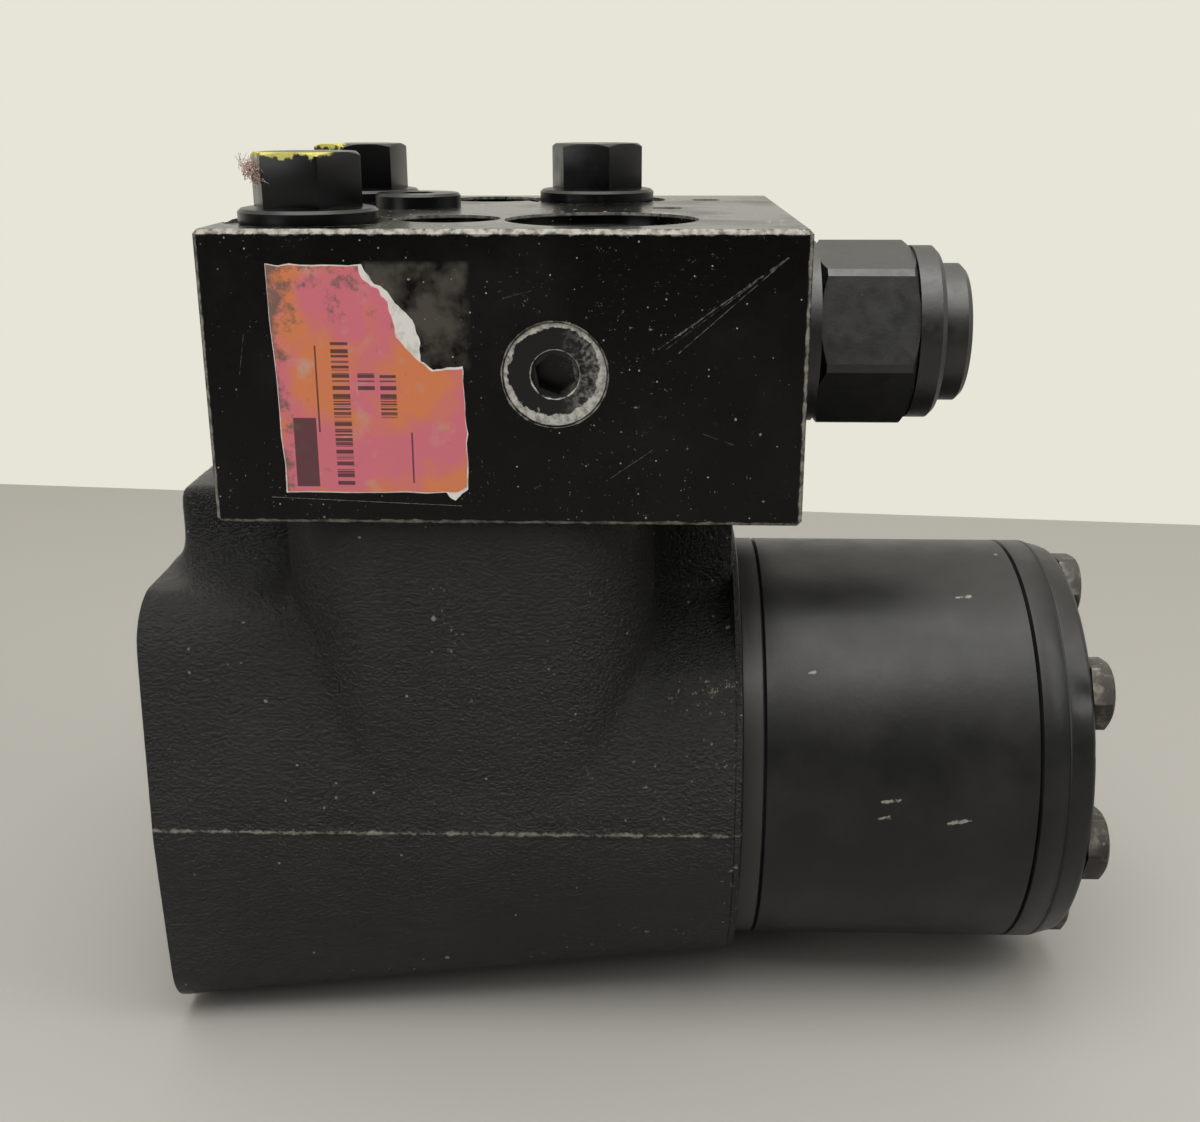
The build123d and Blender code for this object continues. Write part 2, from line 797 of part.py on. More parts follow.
# ================= spacer plate =================
with BuildPart() as spacer_plate:
    with BuildSketch(across(spacer_start)):
        Circle(barrel_radius)
        Circle(spacer_bore_radius, mode=Mode.SUBTRACT)
        with lobe_pattern:
            Circle(screw_radius + screw_clearance, mode=Mode.SUBTRACT)
        with chamber_pattern:
            Circle(chamber_port_radius, mode=Mode.SUBTRACT)
    extrude(amount=spacer_thickness)
    for start in (spacer_start, stator_start - seal_depth):
        with BuildSketch(across(start)):
            seal_groove()
        extrude(amount=seal_depth, mode=Mode.SUBTRACT)
spacer_plate.part.label = "spacer_plate"
export_step(spacer_plate.part, "parts/spacer_plate.step")

# ================= stator ring with its seven lobes =================
with BuildPart() as stator_ring:
    with BuildSketch(across(stator_start)):
        Circle(barrel_radius)
        Circle(valley_radius, mode=Mode.SUBTRACT)
        with PolarLocations(lobe_centre_radius, ring_lobes, start_angle=first_lobe):
            Circle(lobe_radius)
        with lobe_pattern:
            Circle(screw_radius + screw_clearance, mode=Mode.SUBTRACT)
    extrude(amount=stator_length)
stator_ring.part.label = "stator_ring"
export_step(stator_ring.part, "parts/stator_ring.step")

# ================= six-lobed rotor star =================
with BuildPart() as rotor_star:
    with BuildSketch(orbit_plane(stator_start + running_clearance)):
        with BuildLine():
            outline = star_points()
            for start in range(0, len(outline), 2):
                after = (start + 2) % len(outline)
                ThreePointArc(outline[start], outline[start + 1], outline[after])
        make_face()
        Circle(spline_root_radius, mode=Mode.SUBTRACT)
    extrude(amount=stator_length - 2 * running_clearance)
    with BuildSketch(orbit_plane(spline_station - spline_length / 2 - edge_break)):
        with PolarLocations(0, spline_teeth):
            spline_tooth(spline_tip_radius, star_tooth_root, spline_tooth_width, Mode.ADD)
    extrude(amount=spline_length + 2 * edge_break)
rotor_star.part.label = "rotor_star"
export_step(rotor_star.part, "parts/rotor_star.step")

# ================= end cap =================
with BuildPart() as end_cap:
    with BuildSketch(Plane.XZ):
        with BuildLine():
            Polyline(
                (cap_start, 0),
                (cap_start, barrel_radius),
                (cap_end - cap_taper_length, barrel_radius),
                (cap_end, cap_face_radius),
                (cap_end, 0),
                close=True,
            )
        make_face()
    revolve(axis=Axis.X)
    fillet(end_cap.edges().group_by(Axis.X)[-1], cap_rim_fillet)
    with BuildSketch(across(cap_start)):
        with lobe_pattern:
            Circle(screw_radius + screw_clearance)
    extrude(amount=cap_thickness, mode=Mode.SUBTRACT)
    with BuildSketch(across(cap_start)):
        seal_groove()
    extrude(amount=seal_depth, mode=Mode.SUBTRACT)
end_cap.part.label = "end_cap"
export_step(end_cap.part, "parts/end_cap.step")

with BuildPart() as body_seals:
    for start in (spacer_start, stator_start - seal_depth, cap_start):
        with BuildSketch(across(start)):
            Circle(seal_circle_radius + seal_width / 2 - seat_clearance)
            Circle(seal_circle_radius - seal_width / 2 + seat_clearance, mode=Mode.SUBTRACT)
        extrude(amount=seal_depth)
body_seals.part.label = "body_seals"
export_step(body_seals.part, "parts/body_seals.step")

with BuildPart() as cap_screw:
    with BuildSketch(Plane.XZ):
        with BuildLine():
            Polyline(
                (0, -screw_length),
                (screw_radius, -screw_length),
                (screw_radius, 0),
                (head_cone_radius, 0),
                (head_top_radius, screw_head_height),
                (0, screw_head_height),
                close=True,
            )
        make_face()
    revolve(axis=Axis.Z)
    with BuildSketch(level(-screw_length)):
        RegularPolygon(screw_head_flats / 2, 6, major_radius=False, rotation=-screw_head_turn)
    extrude(amount=screw_length + screw_head_height, mode=Mode.INTERSECT)

with BuildPart() as cap_screws:
    with Locations(across(cap_end)):
        with PolarLocations(screw_circle_radius, ring_lobes, start_angle=first_lobe, rotate=False):
            add(cap_screw.part)
cap_screws.part.label = "cap_screws"
export_step(cap_screws.part, "parts/cap_screws.step")

# ================= manifold block =================
with BuildPart() as manifold_block:
    with Locations((block_start + block_length / 2, 0, port_face_height + block_height / 2)):
        Box(block_length, block_width, block_height)
    chamfer(manifold_block.edges(), block_chamfer)
    # plug spotfaces and threads
    for place, spotface_radius in zip(plug_places, plug_spotface_radii):
        with Locations((*place, block_top)):
            Hole(plug_thread_radius + seat_clearance, plug_bore_depth)
            CounterBoreHole(
                plug_seal_radius,
                spotface_radius,
                plug_spotface_depth,
                plug_spotface_depth + plug_seal_depth,
            )
    # open port
    with Locations((*open_port_place, block_top)):
        CounterBoreHole(
            open_port_thread_radius,
            open_port_spotface_radius,
            open_port_spotface_depth,
            open_port_thread_depth,
        )
        Hole(open_port_drill_radius, open_port_drill_depth)
    # low plug and small holes
    with Locations((*low_plug_place, block_top)):
        Hole(low_plug_thread_radius + seat_clearance, low_plug_thread_length + screw_tip_gap)
    for place in small_hole_places:
        with Locations((*place, block_top)):
            Hole(small_hole_radius, small_hole_depth)
    # manifold screws
    for place in block_screw_places:
        with Locations((*place, block_top)):
            CounterBoreHole(
                block_screw_radius + screw_clearance,
                block_counterbore_radius,
                block_counterbore_depth,
                block_height,
            )
    # port holes and seal recesses in the lower face
    with BuildSketch(level(port_face_height)):
        with Locations(*port_places):
            Circle(port_seal_outer)
    extrude(amount=port_seal_depth, mode=Mode.SUBTRACT)
    with BuildSketch(level(port_face_height)):
        with Locations(*port_places):
            Circle(port_hole_radius)
    extrude(amount=port_hole_depth, mode=Mode.SUBTRACT)
    # front plug thread
    with BuildSketch(Plane.XZ.offset(-block_front)):
        with Locations(face_plug_place):
            Circle(face_plug_radius + seat_clearance)
    extrude(amount=-(face_plug_inset + face_plug_length), mode=Mode.SUBTRACT)
    # cartridge cavity
    with BuildSketch(cartridge_plane(block_end)):
        Circle(cartridge_nose_radius + seat_clearance)
    extrude(amount=-(cartridge_nose_length + end_clearance), mode=Mode.SUBTRACT)
manifold_block.part.label = "manifold_block"
export_step(manifold_block.part, "parts/manifold_block.step")

with BuildPart() as port_seals:
    with BuildSketch(level(port_face_height)):
        with Locations(*port_places):
            Circle(port_seal_outer - seat_clearance)
            Circle(port_seal_inner, mode=Mode.SUBTRACT)
    extrude(amount=port_seal_depth)
port_seals.part.label = "port_seals"
export_step(port_seals.part, "parts/port_seals.step")

# ================= hex plugs on the block =================
for name, place, turn in zip(plug_names, plug_places, plug_head_turns):
    with BuildPart() as hex_plug:
        with BuildSketch(level(plug_seat)):
            with Locations(place):
                Circle(plug_flange_radius)
        extrude(amount=plug_flange_height)
        chamfer(hex_plug.edges().group_by(Axis.Z)[-1], plug_flange_chamfer)
        with BuildSketch(level(plug_seat)):
            with Locations(place):
                RegularPolygon(plug_flats / 2, 6, major_radius=False, rotation=turn)
        extrude(amount=plug_flange_height + plug_hex_height)
        chamfer(hex_plug.edges().group_by(Axis.Z)[-1], edge_break / 2)
        with BuildSketch(level(plug_seat)):
            with Locations(place):
                Circle(plug_thread_radius)
        extrude(amount=-plug_thread_length)
    hex_plug.part.label = name
    export_step(hex_plug.part, "parts/" + name + ".step")

with BuildPart() as plug_seals:
    for place in plug_places:
        with BuildSketch(level(plug_seat - plug_seal_depth)):
            with Locations(place):
                Circle(plug_seal_radius - seat_clearance)
                Circle(plug_thread_radius, mode=Mode.SUBTRACT)
        extrude(amount=plug_seal_depth)
plug_seals.part.label = "plug_seals"
export_step(plug_seals.part, "parts/plug_seals.step")

# ================= socket plugs and screws =================
with BuildPart() as low_plug:
    with BuildSketch(level(block_top)):
        with Locations(low_plug_place):
            Circle(low_plug_radius)
    extrude(amount=low_plug_height)
    chamfer(low_plug.edges().group_by(Axis.Z)[-1], edge_break / 2)
    with BuildSketch(level(block_top)):
        with Locations(low_plug_place):
            Circle(low_plug_thread_radius)
    extrude(amount=-low_plug_thread_length)
    with BuildSketch(level(block_top + low_plug_height)):
        with Locations(low_plug_place):
            RegularPolygon(low_plug_socket_flats / 2, 6, major_radius=False)
    extrude(amount=-low_plug_socket_depth, mode=Mode.SUBTRACT)
low_plug.part.label = "low_plug"
export_step(low_plug.part, "parts/low_plug.step")

with BuildPart() as face_plug:
    with BuildSketch(Plane.XZ.offset(-block_front - face_plug_inset)):
        with Locations(face_plug_place):
            Circle(face_plug_radius)
    extrude(amount=-face_plug_length)
    chamfer(face_plug.edges().group_by(Axis.Y)[0], face_plug_rim)
    with BuildSketch(Plane.XZ.offset(-block_front - face_plug_inset)):
        with Locations(face_plug_place):
            RegularPolygon(face_plug_socket_flats / 2, 6, major_radius=False)
    extrude(amount=-face_plug_socket_depth, mode=Mode.SUBTRACT)
face_plug.part.label = "face_plug"
export_step(face_plug.part, "parts/face_plug.step")

with BuildPart() as block_screws:
    for place in block_screw_places:
        with BuildSketch(level(block_screw_seat)):
            with Locations(place):
                Circle(block_screw_head_radius)
                RegularPolygon(block_screw_socket_flats / 2, 6, major_radius=False, mode=Mode.SUBTRACT)
        extrude(amount=block_screw_head_height)
        with BuildSketch(level(block_screw_seat)):
            with Locations(place):
                Circle(block_screw_head_radius)
        extrude(amount=block_screw_head_height - block_screw_socket_depth)
        with BuildSketch(level(block_screw_seat)):
            with Locations(place):
                Circle(block_screw_radius)
        extrude(amount=port_face_height - block_screw_seat - block_screw_engagement)
block_screws.part.label = "block_screws"
export_step(block_screws.part, "parts/block_screws.step")

# ================= relief cartridge =================
with BuildPart() as cartridge_body:
    with BuildSketch(cartridge_plane(hex_start)):
        RegularPolygon(cartridge_flats / 2, 6, major_radius=False, rotation=cartridge_hex_turn)
    extrude(amount=cartridge_hex_length)
    with BuildSketch(cartridge_side):
        with BuildLine():
            Polyline(
                (hex_start, 0),
                (hex_start, cartridge_hex_corner_radius - hex_end_drop),
                (hex_start + hex_end_chamfer, cartridge_hex_corner_radius),
                (hex_end - hex_end_chamfer, cartridge_hex_corner_radius),
                (hex_end, cartridge_hex_corner_radius - hex_end_drop),
                (hex_end, 0),
                close=True,
            )
        make_face()
    revolve(axis=cartridge_axis, mode=Mode.INTERSECT)
    with BuildSketch(cartridge_plane(block_end)):
        Circle(cartridge_collar_radius)
    extrude(amount=cartridge_collar_length)
    with BuildSketch(cartridge_plane(nose_start)):
        Circle(cartridge_nose_radius)
    extrude(amount=cartridge_nose_length)
    with BuildSketch(cartridge_side):
        ring_profile(
            seal_start,
            seal_start + cartridge_seal_width,
            cartridge_nose_radius - cartridge_seal_depth,
            cartridge_nose_radius,
        )
    revolve(axis=cartridge_axis, mode=Mode.SUBTRACT)
    with BuildSketch(cartridge_side):
        ring_profile(nose_start, hex_end, 0, cartridge_seat_radius)
        ring_profile(poppet_seat, hex_end, 0, cartridge_bore_radius)
    revolve(axis=cartridge_axis, mode=Mode.SUBTRACT)
cartridge_body.part.label = "cartridge_body"
export_step(cartridge_body.part, "parts/cartridge_body.step")

with BuildPart() as cartridge_seal:
    with BuildSketch(cartridge_side):
        ring_profile(
            seal_start + seat_clearance,
            seal_start + cartridge_seal_width - seat_clearance,
            cartridge_nose_radius - cartridge_seal_depth,
            cartridge_nose_radius,
        )
    revolve(axis=cartridge_axis)
cartridge_seal.part.label = "cartridge_seal"
export_step(cartridge_seal.part, "parts/cartridge_seal.step")

with BuildPart() as cartridge_cap:
    with BuildSketch(cartridge_plane(hex_end)):
        Circle(cartridge_shoulder_radius)
    extrude(amount=cartridge_shoulder_length)
    chamfer(cartridge_cap.edges().group_by(Axis.X)[-1], edge_break)
    with BuildSketch(cartridge_plane(hex_end)):
        Circle(cartridge_cap_radius)
    extrude(amount=cartridge_shoulder_length + cartridge_cap_length)
    chamfer(cartridge_cap.edges().group_by(Axis.X)[-1], edge_break)
    with BuildSketch(cartridge_plane(hex_end)):
        Circle(cartridge_bore_radius - seat_clearance)
    extrude(amount=-cartridge_stub_length)
cartridge_cap.part.label = "cartridge_cap"
export_step(cartridge_cap.part, "parts/cartridge_cap.step")

with BuildPart() as poppet:
    with BuildSketch(cartridge_side):
        with BuildLine():
            Polyline(
                (poppet_start, 0),
                (poppet_start, poppet_tip_radius),
                (poppet_start + poppet_cone_length, poppet_radius),
                (poppet_back, poppet_radius),
                (poppet_back, poppet_rod_radius),
                (poppet_back + poppet_rod_length, poppet_rod_radius),
                (poppet_back + poppet_rod_length, 0),
                close=True,
            )
        make_face()
    revolve(axis=cartridge_axis)
poppet.part.label = "poppet"
export_step(poppet.part, "parts/poppet.step")

with BuildPart() as poppet_spring:
    with BuildLine() as coil:
        Helix(
            spring_length / spring_turns,
            spring_length,
            spring_coil_radius,
            center=(spring_start, cartridge_y, cartridge_z),
            direction=(1, 0, 0),
        )
    with BuildSketch(Plane(origin=coil.line @ 0, z_dir=coil.line % 0)):
        Rectangle(spring_wire, spring_wire)
    sweep(is_frenet=True)
poppet_spring.part.label = "poppet_spring"
export_step(poppet_spring.part, "parts/poppet_spring.step")
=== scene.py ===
import bmesh
import bpy
from math import atan2, cos, hypot, pi, radians, sin
from mathutils import Matrix, Vector, noise
from random import Random


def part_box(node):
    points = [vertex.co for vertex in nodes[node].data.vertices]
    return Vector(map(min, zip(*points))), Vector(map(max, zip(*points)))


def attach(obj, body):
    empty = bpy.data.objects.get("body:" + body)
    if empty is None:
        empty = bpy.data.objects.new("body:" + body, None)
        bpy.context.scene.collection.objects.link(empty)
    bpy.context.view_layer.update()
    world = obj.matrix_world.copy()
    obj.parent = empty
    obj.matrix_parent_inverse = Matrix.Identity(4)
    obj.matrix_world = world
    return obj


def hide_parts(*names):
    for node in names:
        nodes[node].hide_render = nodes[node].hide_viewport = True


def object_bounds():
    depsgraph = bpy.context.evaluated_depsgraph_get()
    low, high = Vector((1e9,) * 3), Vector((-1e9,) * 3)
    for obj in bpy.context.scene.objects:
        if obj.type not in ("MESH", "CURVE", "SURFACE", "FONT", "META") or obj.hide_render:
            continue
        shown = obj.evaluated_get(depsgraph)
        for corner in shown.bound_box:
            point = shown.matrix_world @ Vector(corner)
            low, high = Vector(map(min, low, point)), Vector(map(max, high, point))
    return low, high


# Orbital steering unit. Pieces are written in millimetres and land in metres:
# X along the steering axis, -Y to the front, +Z to the port face.
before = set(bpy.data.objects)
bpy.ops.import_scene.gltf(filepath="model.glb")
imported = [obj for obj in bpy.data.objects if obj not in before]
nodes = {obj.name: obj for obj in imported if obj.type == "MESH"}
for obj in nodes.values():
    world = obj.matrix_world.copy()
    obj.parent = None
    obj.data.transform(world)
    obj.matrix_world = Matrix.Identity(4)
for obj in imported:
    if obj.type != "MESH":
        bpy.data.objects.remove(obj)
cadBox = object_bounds()
mm = 0.001
# places that more than one piece or finish uses, in mm
blockLow, blockHigh = (18.2, -48.4, 61.5), (121.6, 48.4, 112.3)
frontY, topZ = blockLow[1], blockHigh[2]
socketSpot = (78.6, -48.1, 88.1)
plugSpot = (33.7, -29.5)


def hexColour(text):
    # sRGB hex to the linear numbers that shaders want
    parts = [int(text[i : i + 2], 16) / 255 for i in (1, 3, 5)]
    return tuple(
        p / 12.92 if p <= 0.04045 else ((p + 0.055) / 1.055) ** 2.4 for p in parts
    ) + (1.0,)


def newMaterial(name, colour, roughness, metallic=0.0, ior=1.5):
    mat = bpy.data.materials.new(name)
    mat.use_nodes = True
    sockets = mat.node_tree.nodes["Principled BSDF"].inputs
    sockets["Base Color"].default_value = hexColour(colour)
    sockets["Roughness"].default_value = roughness
    sockets["Metallic"].default_value = metallic
    sockets["IOR"].default_value = ior
    return mat


def addNode(mat, kind, inputs=(), **settings):
    # one node with its settings; an input is a plain value or another node's socket
    node = mat.node_tree.nodes.new("ShaderNode" + kind)
    for key, value in settings.items():
        setattr(node, key, value)
    for key, value in inputs.items() if isinstance(inputs, dict) else enumerate(inputs):
        live = [s for s in node.inputs if s.enabled]
        socket = live[key] if isinstance(key, int) else next(s for s in live if s.name == key)
        if isinstance(value, bpy.types.NodeSocket):
            mat.node_tree.links.new(value, socket)
        else:
            socket.default_value = value
    return next(s for s in node.outputs if s.enabled)


def wire(mat, **sockets):
    # joins pattern outputs to the shader; an underscore stands for a space
    shader = mat.node_tree.nodes["Principled BSDF"]
    for name, socket in sockets.items():
        mat.node_tree.links.new(socket, shader.inputs[name.replace("_", " ")])


def placeOf(mat):
    return addNode(mat, "TexCoord").node.outputs["Object"]


def specks(mat, at, size, spread, keep):
    # dots of about size mm in cells of spread mm, of which a share is kept, with ragged rims
    warp = addNode(mat, "TexNoise", {"Vector": at, "Scale": 1.2 / (size * mm), "Detail": 3}).node
    shift = addNode(
        mat, "VectorMath", [warp.outputs["Color"], (0.5, 0.5, 0.5)], operation="SUBTRACT"
    )
    moved = addNode(
        mat, "VectorMath", [shift, (1.4 * size * mm,) * 3, at], operation="MULTIPLY_ADD"
    )
    cells = addNode(mat, "TexVoronoi", {"Vector": moved, "Scale": 1 / (spread * mm)}).node
    near = addNode(mat, "MapRange", [cells.outputs["Distance"], size / spread, size / spread * 0.6])
    pick = addNode(mat, "SeparateColor", [cells.outputs["Color"]])
    chosen = addNode(mat, "MapRange", [pick, 1 - keep, 1.01 - keep])
    return addNode(mat, "Math", [near, chosen], operation="MULTIPLY")


def scratch(mat, at, start, end, width):
    # a thin ragged stroke between two points on a surface
    start, end = Vector(start) * mm, Vector(end) * mm
    along = (end - start).normalized()
    rel = addNode(mat, "VectorMath", [at, start], operation="SUBTRACT")
    run = addNode(mat, "VectorMath", [rel, along], operation="DOT_PRODUCT")
    held = addNode(mat, "MapRange", [run, 0, (end - start).length, 0, (end - start).length])
    foot = addNode(mat, "VectorMath", {"Vector": along, "Scale": held}, operation="SCALE")
    gap = addNode(mat, "VectorMath", [rel, foot], operation="DISTANCE")
    rag = addNode(mat, "TexNoise", {"Vector": at, "Scale": 0.5 / (width * mm), "Detail": 5})
    edge = addNode(mat, "Math", [rag, width * mm * 2, gap], operation="MULTIPLY_ADD")
    return addNode(mat, "MapRange", [edge, width * mm * 1.5, width * mm * 1.2])


def ringMark(mat, at, centre, keepAxes, radius, width):
    # a ragged ring about a hole's axis; keepAxes has a 0 for the axis it runs along
    rel = addNode(mat, "VectorMath", [at, Vector(centre) * mm], operation="SUBTRACT")
    flat = addNode(mat, "VectorMath", [rel, keepAxes], operation="MULTIPLY")
    far = addNode(mat, "VectorMath", [flat], operation="LENGTH")
    off = addNode(mat, "Math", [far, radius * mm], operation="SUBTRACT")
    gap = addNode(mat, "Math", [off], operation="ABSOLUTE")
    rag = addNode(
        mat, "TexNoise", {"Vector": at, "Scale": 1 / (1.5 * mm), "Detail": 5, "Roughness": 0.65}
    )
    edge = addNode(mat, "Math", [rag, width * mm * 2.4, gap], operation="MULTIPLY_ADD")
    near = addNode(mat, "VectorMath", [rel, [1 - k for k in keepAxes]], operation="MULTIPLY")
    near = addNode(mat, "VectorMath", [near], operation="LENGTH")
    near = addNode(mat, "MapRange", [near, 0.6 * mm, 0.4 * mm])
    ring = addNode(mat, "MapRange", [edge, width * mm * 1.7, width * mm * 1.3])
    return addNode(mat, "Math", [ring, near], operation="MULTIPLY")


def edgeWear(mat, at, low, high, reach, ragged):
    # paint gone along the edges of an upright box given by two corners in mm, at most reach wide
    axes = addNode(mat, "SeparateXYZ", [at]).node.outputs
    gaps = []
    for i in range(3):
        fromLow = addNode(mat, "Math", [axes[i], low[i] * mm], operation="SUBTRACT")
        fromHigh = addNode(mat, "Math", [high[i] * mm, axes[i]], operation="SUBTRACT")
        least = addNode(mat, "Math", [fromLow, fromHigh], operation="MINIMUM")
        gaps.append(addNode(mat, "Math", [least], operation="ABSOLUTE"))
    lowPair = addNode(mat, "Math", [gaps[0], gaps[1]], operation="MINIMUM")
    highPair = addNode(mat, "Math", [gaps[0], gaps[1]], operation="MAXIMUM")
    inner = addNode(mat, "Math", [highPair, gaps[2]], operation="MINIMUM")
    second = addNode(mat, "Math", [lowPair, inner], operation="MAXIMUM")
    rag = addNode(
        mat, "TexNoise", {"Vector": at, "Scale": 1 / (3.2 * mm), "Detail": 7, "Roughness": 0.72}
    )
    edge = addNode(mat, "Math", [rag, ragged * mm, second], operation="MULTIPLY_ADD")
    return addNode(mat, "MapRange", [edge, reach * mm, (reach - 0.25) * mm])


def blotches(mat, at, size, low, high, detail=4):
    # soft patches of about size mm, 0 below low and 1 above high
    field = addNode(
        mat,
        "TexNoise",
        {"Vector": at, "Scale": 1 / (size * mm), "Detail": detail, "Roughness": 0.6},
    )
    return addNode(mat, "MapRange", [field, low, high])


def most(mat, masks):
    # the strongest of several masks
    total = masks[0]
    for mask in masks[1:]:
        total = addNode(mat, "Math", [total, mask], operation="MAXIMUM")
    return total


# castBlackPaint: sand-cast grey iron sprayed satin black; the sand grain shows as a
# coarse orange peel, and knocks leave pale chips
castIron = {
    "paint": "#050505",
    "dust": "#171615",
    "chip": "#a39c8f",
    "grain": 0.55,  # mm, sand grit under the paint
    "partingHeight": -0.6,
}
castBlackPaint = mat = newMaterial("castBlackPaint", castIron["paint"], 0.24, ior=1.42)
at = placeOf(mat)
axes = addNode(mat, "SeparateXYZ", [at]).node.outputs
peel = addNode(
    mat, "TexNoise", {
        "Vector": at,
        "Scale": 1 / (castIron["grain"] * mm),
        "Detail": 4,
        "Roughness": 0.6,
    }
)
pits = addNode(mat, "TexVoronoi", {"Vector": at, "Scale": 1 / (0.9 * mm)}, feature="SMOOTH_F1")
height = addNode(mat, "Math", [pits, 0.35, peel], operation="MULTIPLY_ADD")
coarse = addNode(mat, "Bump", {"Height": height, "Strength": 1.0, "Distance": 0.8 * mm})
# flash left along the parting line, rubbed bare
offLine = addNode(mat, "Math", [axes[2], -castIron["partingHeight"] * mm], operation="ADD")
offLine = addNode(mat, "Math", [offLine], operation="ABSOLUTE")
rag = addNode(
    mat, "TexNoise", {"Vector": at, "Scale": 1 / (1.9 * mm), "Detail": 7, "Roughness": 0.8}
)
offLine = addNode(mat, "Math", [rag, 3.4 * mm, offLine], operation="MULTIPLY_ADD")
flash = addNode(mat, "MapRange", [offLine, 2.1 * mm, 1.6 * mm])
side = addNode(mat, "Math", [axes[1]], operation="ABSOLUTE")
side = addNode(mat, "MapRange", [side, 42 * mm, 44 * mm])
flash = addNode(mat, "Math", [flash, side], operation="MULTIPLY")
# chips gather low on the gerotor end
toFarEnd = addNode(mat, "MapRange", [axes[0], 30 * mm, 112 * mm, 0.0, 0.12])
cluster = addNode(
    mat, "TexNoise", {"Vector": at, "Scale": 1 / (16 * mm), "Detail": 5, "Roughness": 0.7}
)
cluster = addNode(mat, "Math", [cluster, toFarEnd], operation="ADD")
cluster = addNode(mat, "MapRange", [cluster, 0.46, 0.8, -0.07, 0.14])
fine = addNode(
    mat, "TexNoise", {"Vector": at, "Scale": 1 / (1.1 * mm), "Detail": 4, "Roughness": 0.8}
)
fine = addNode(mat, "Math", [fine, cluster], operation="ADD")
fine = addNode(mat, "MapRange", [fine, 0.70, 0.76])
grit = [specks(mat, at, 0.28, 2.4, 0.14), specks(mat, at, 0.55, 8, 0.2)]
chips = most(mat, [fine, flash, *grit])
paint = addNode(
    mat,
    "Mix",
    [blotches(mat, at, 24, 0.45, 0.75), hexColour(castIron["paint"]), hexColour(castIron["dust"])],
    data_type="RGBA",
)
chips = addNode(mat, "Math", [chips, 0.7], operation="MULTIPLY")
wire(
    mat,
    Base_Color=addNode(mat, "Mix", [chips, paint, hexColour(castIron["chip"])], data_type="RGBA"),
    Roughness=addNode(mat, "MapRange", [chips, 0, 1, 0.24, 0.75]),
    Normal=coarse,
)

# blockEnamel: machined steel bar in gloss black enamel, worn to bright steel on its edges
blockFinish = {
    "enamel": "#030303",
    "haze": "#151413",
    "bare": "#8f8b83",
    "stain": "#55524d",
    "dust": "#cfc9bd",
    "glue": "#4a453e",
    "edge": 1.45,  # mm, most that bare steel reaches from an edge
    "rings": (  # x, y and radius of the rubbed rims round the holes in the top
        (*plugSpot, 15.0),
        (31.2, 33.0, 12.6),
        (83.0, 32.0, 15.0),
        (85.9, -25.6, 17.5),
        (58.0, -24.5, 9.5),
        (60.5, 34.0, 9.5),
        (98.0, 4.4, 3.1),
        (106.8, 31.0, 3.1),
    ),
    "scuffEnd": (117.4, 107.7),  # x and z on the front
    "scuffStarts": ((96.2, 92.6, 0.3), (97.4, 92.5, 0.12), (99.6, 91.9, 0.2)),  # x, z, width
    "strokes": (  # x, z, length, degrees
        (88, 70, 9, 35),
        (104, 78, 6, -20),
        (24.5, 88, 7, 80),
        (70, 101, 5, 15),
    ),
    "glueBox": (46.2, 64.6, 88.2, 107.3),  # low x, high x, low z, high z
}
blockEnamel = mat = newMaterial("blockEnamel", blockFinish["enamel"], 0.22, ior=1.3)
at = placeOf(mat)
axes = addNode(mat, "SeparateXYZ", [at]).node.outputs
bare = [
    edgeWear(mat, at, blockLow, blockHigh, blockFinish["edge"], 1.3),
    # the top's front edge has taken most of the knocks
    edgeWear(mat, at, (-400, frontY, -400), (400, 400, topZ), 2.1, 2.3),
]
for x, y, radius in blockFinish["rings"]:
    bare.append(ringMark(mat, at, (x, y, topZ), (1, 1, 0), radius, 0.35))
bare.append(ringMark(mat, at, (socketSpot[0], frontY, socketSpot[2]), (1, 0, 1), 9.1, 0.3))
scuffs = []
endX, endZ = blockFinish["scuffEnd"]
for x, z, width in blockFinish["scuffStarts"]:
    # one long scuff fanning out to its lower end
    scuffs.append(scratch(mat, at, (x, frontY, z), (endX, frontY, endZ), width))
bare.append(scratch(mat, at, (28.5, frontY, 66.3), (62.0, frontY, 64.9), 0.10))
for x, z, length, lean in blockFinish["strokes"]:
    end = (x + length * cos(radians(lean)), frontY, z + length * sin(radians(lean)))
    scuffs.append(scratch(mat, at, (x, frontY, z), end, 0.09))
bare = most(mat, bare)
broken = addNode(mat, "Math", [blotches(mat, at, 1.3, 0.4, 0.65, 6), 0.3], operation="MULTIPLY")
scuffs = addNode(mat, "Math", [most(mat, scuffs), broken], operation="MULTIPLY")
# dust and overspray lie mostly on the top
top = addNode(mat, "MapRange", [axes[2], 111.9 * mm, 112.2 * mm])
topDust = addNode(mat, "Math", [specks(mat, at, 0.5, 2.0, 0.35), top], operation="MULTIPLY")
patches = blotches(mat, at, 14, 0.5, 0.62, 6)
topDust = addNode(mat, "Math", [topDust, patches], operation="MULTIPLY")
drift = blotches(mat, at, 26, 0.4, 0.7, 5)
fine = addNode(
    mat, "TexNoise", {"Vector": at, "Scale": 1 / (0.8 * mm), "Detail": 3, "Roughness": 0.8}
)
fine = addNode(mat, "Math", [drift, 0.07, fine], operation="MULTIPLY_ADD")
fine = addNode(mat, "MapRange", [fine, 0.70, 0.75, 0.0, 0.4])
dots = most(mat, [specks(mat, at, 0.17, 1.5, 0.2), specks(mat, at, 0.3, 5, 0.25)])
dots = addNode(mat, "Math", [dots, 0.65], operation="MULTIPLY")
dust = most(mat, [topDust, fine, scuffs, dots])
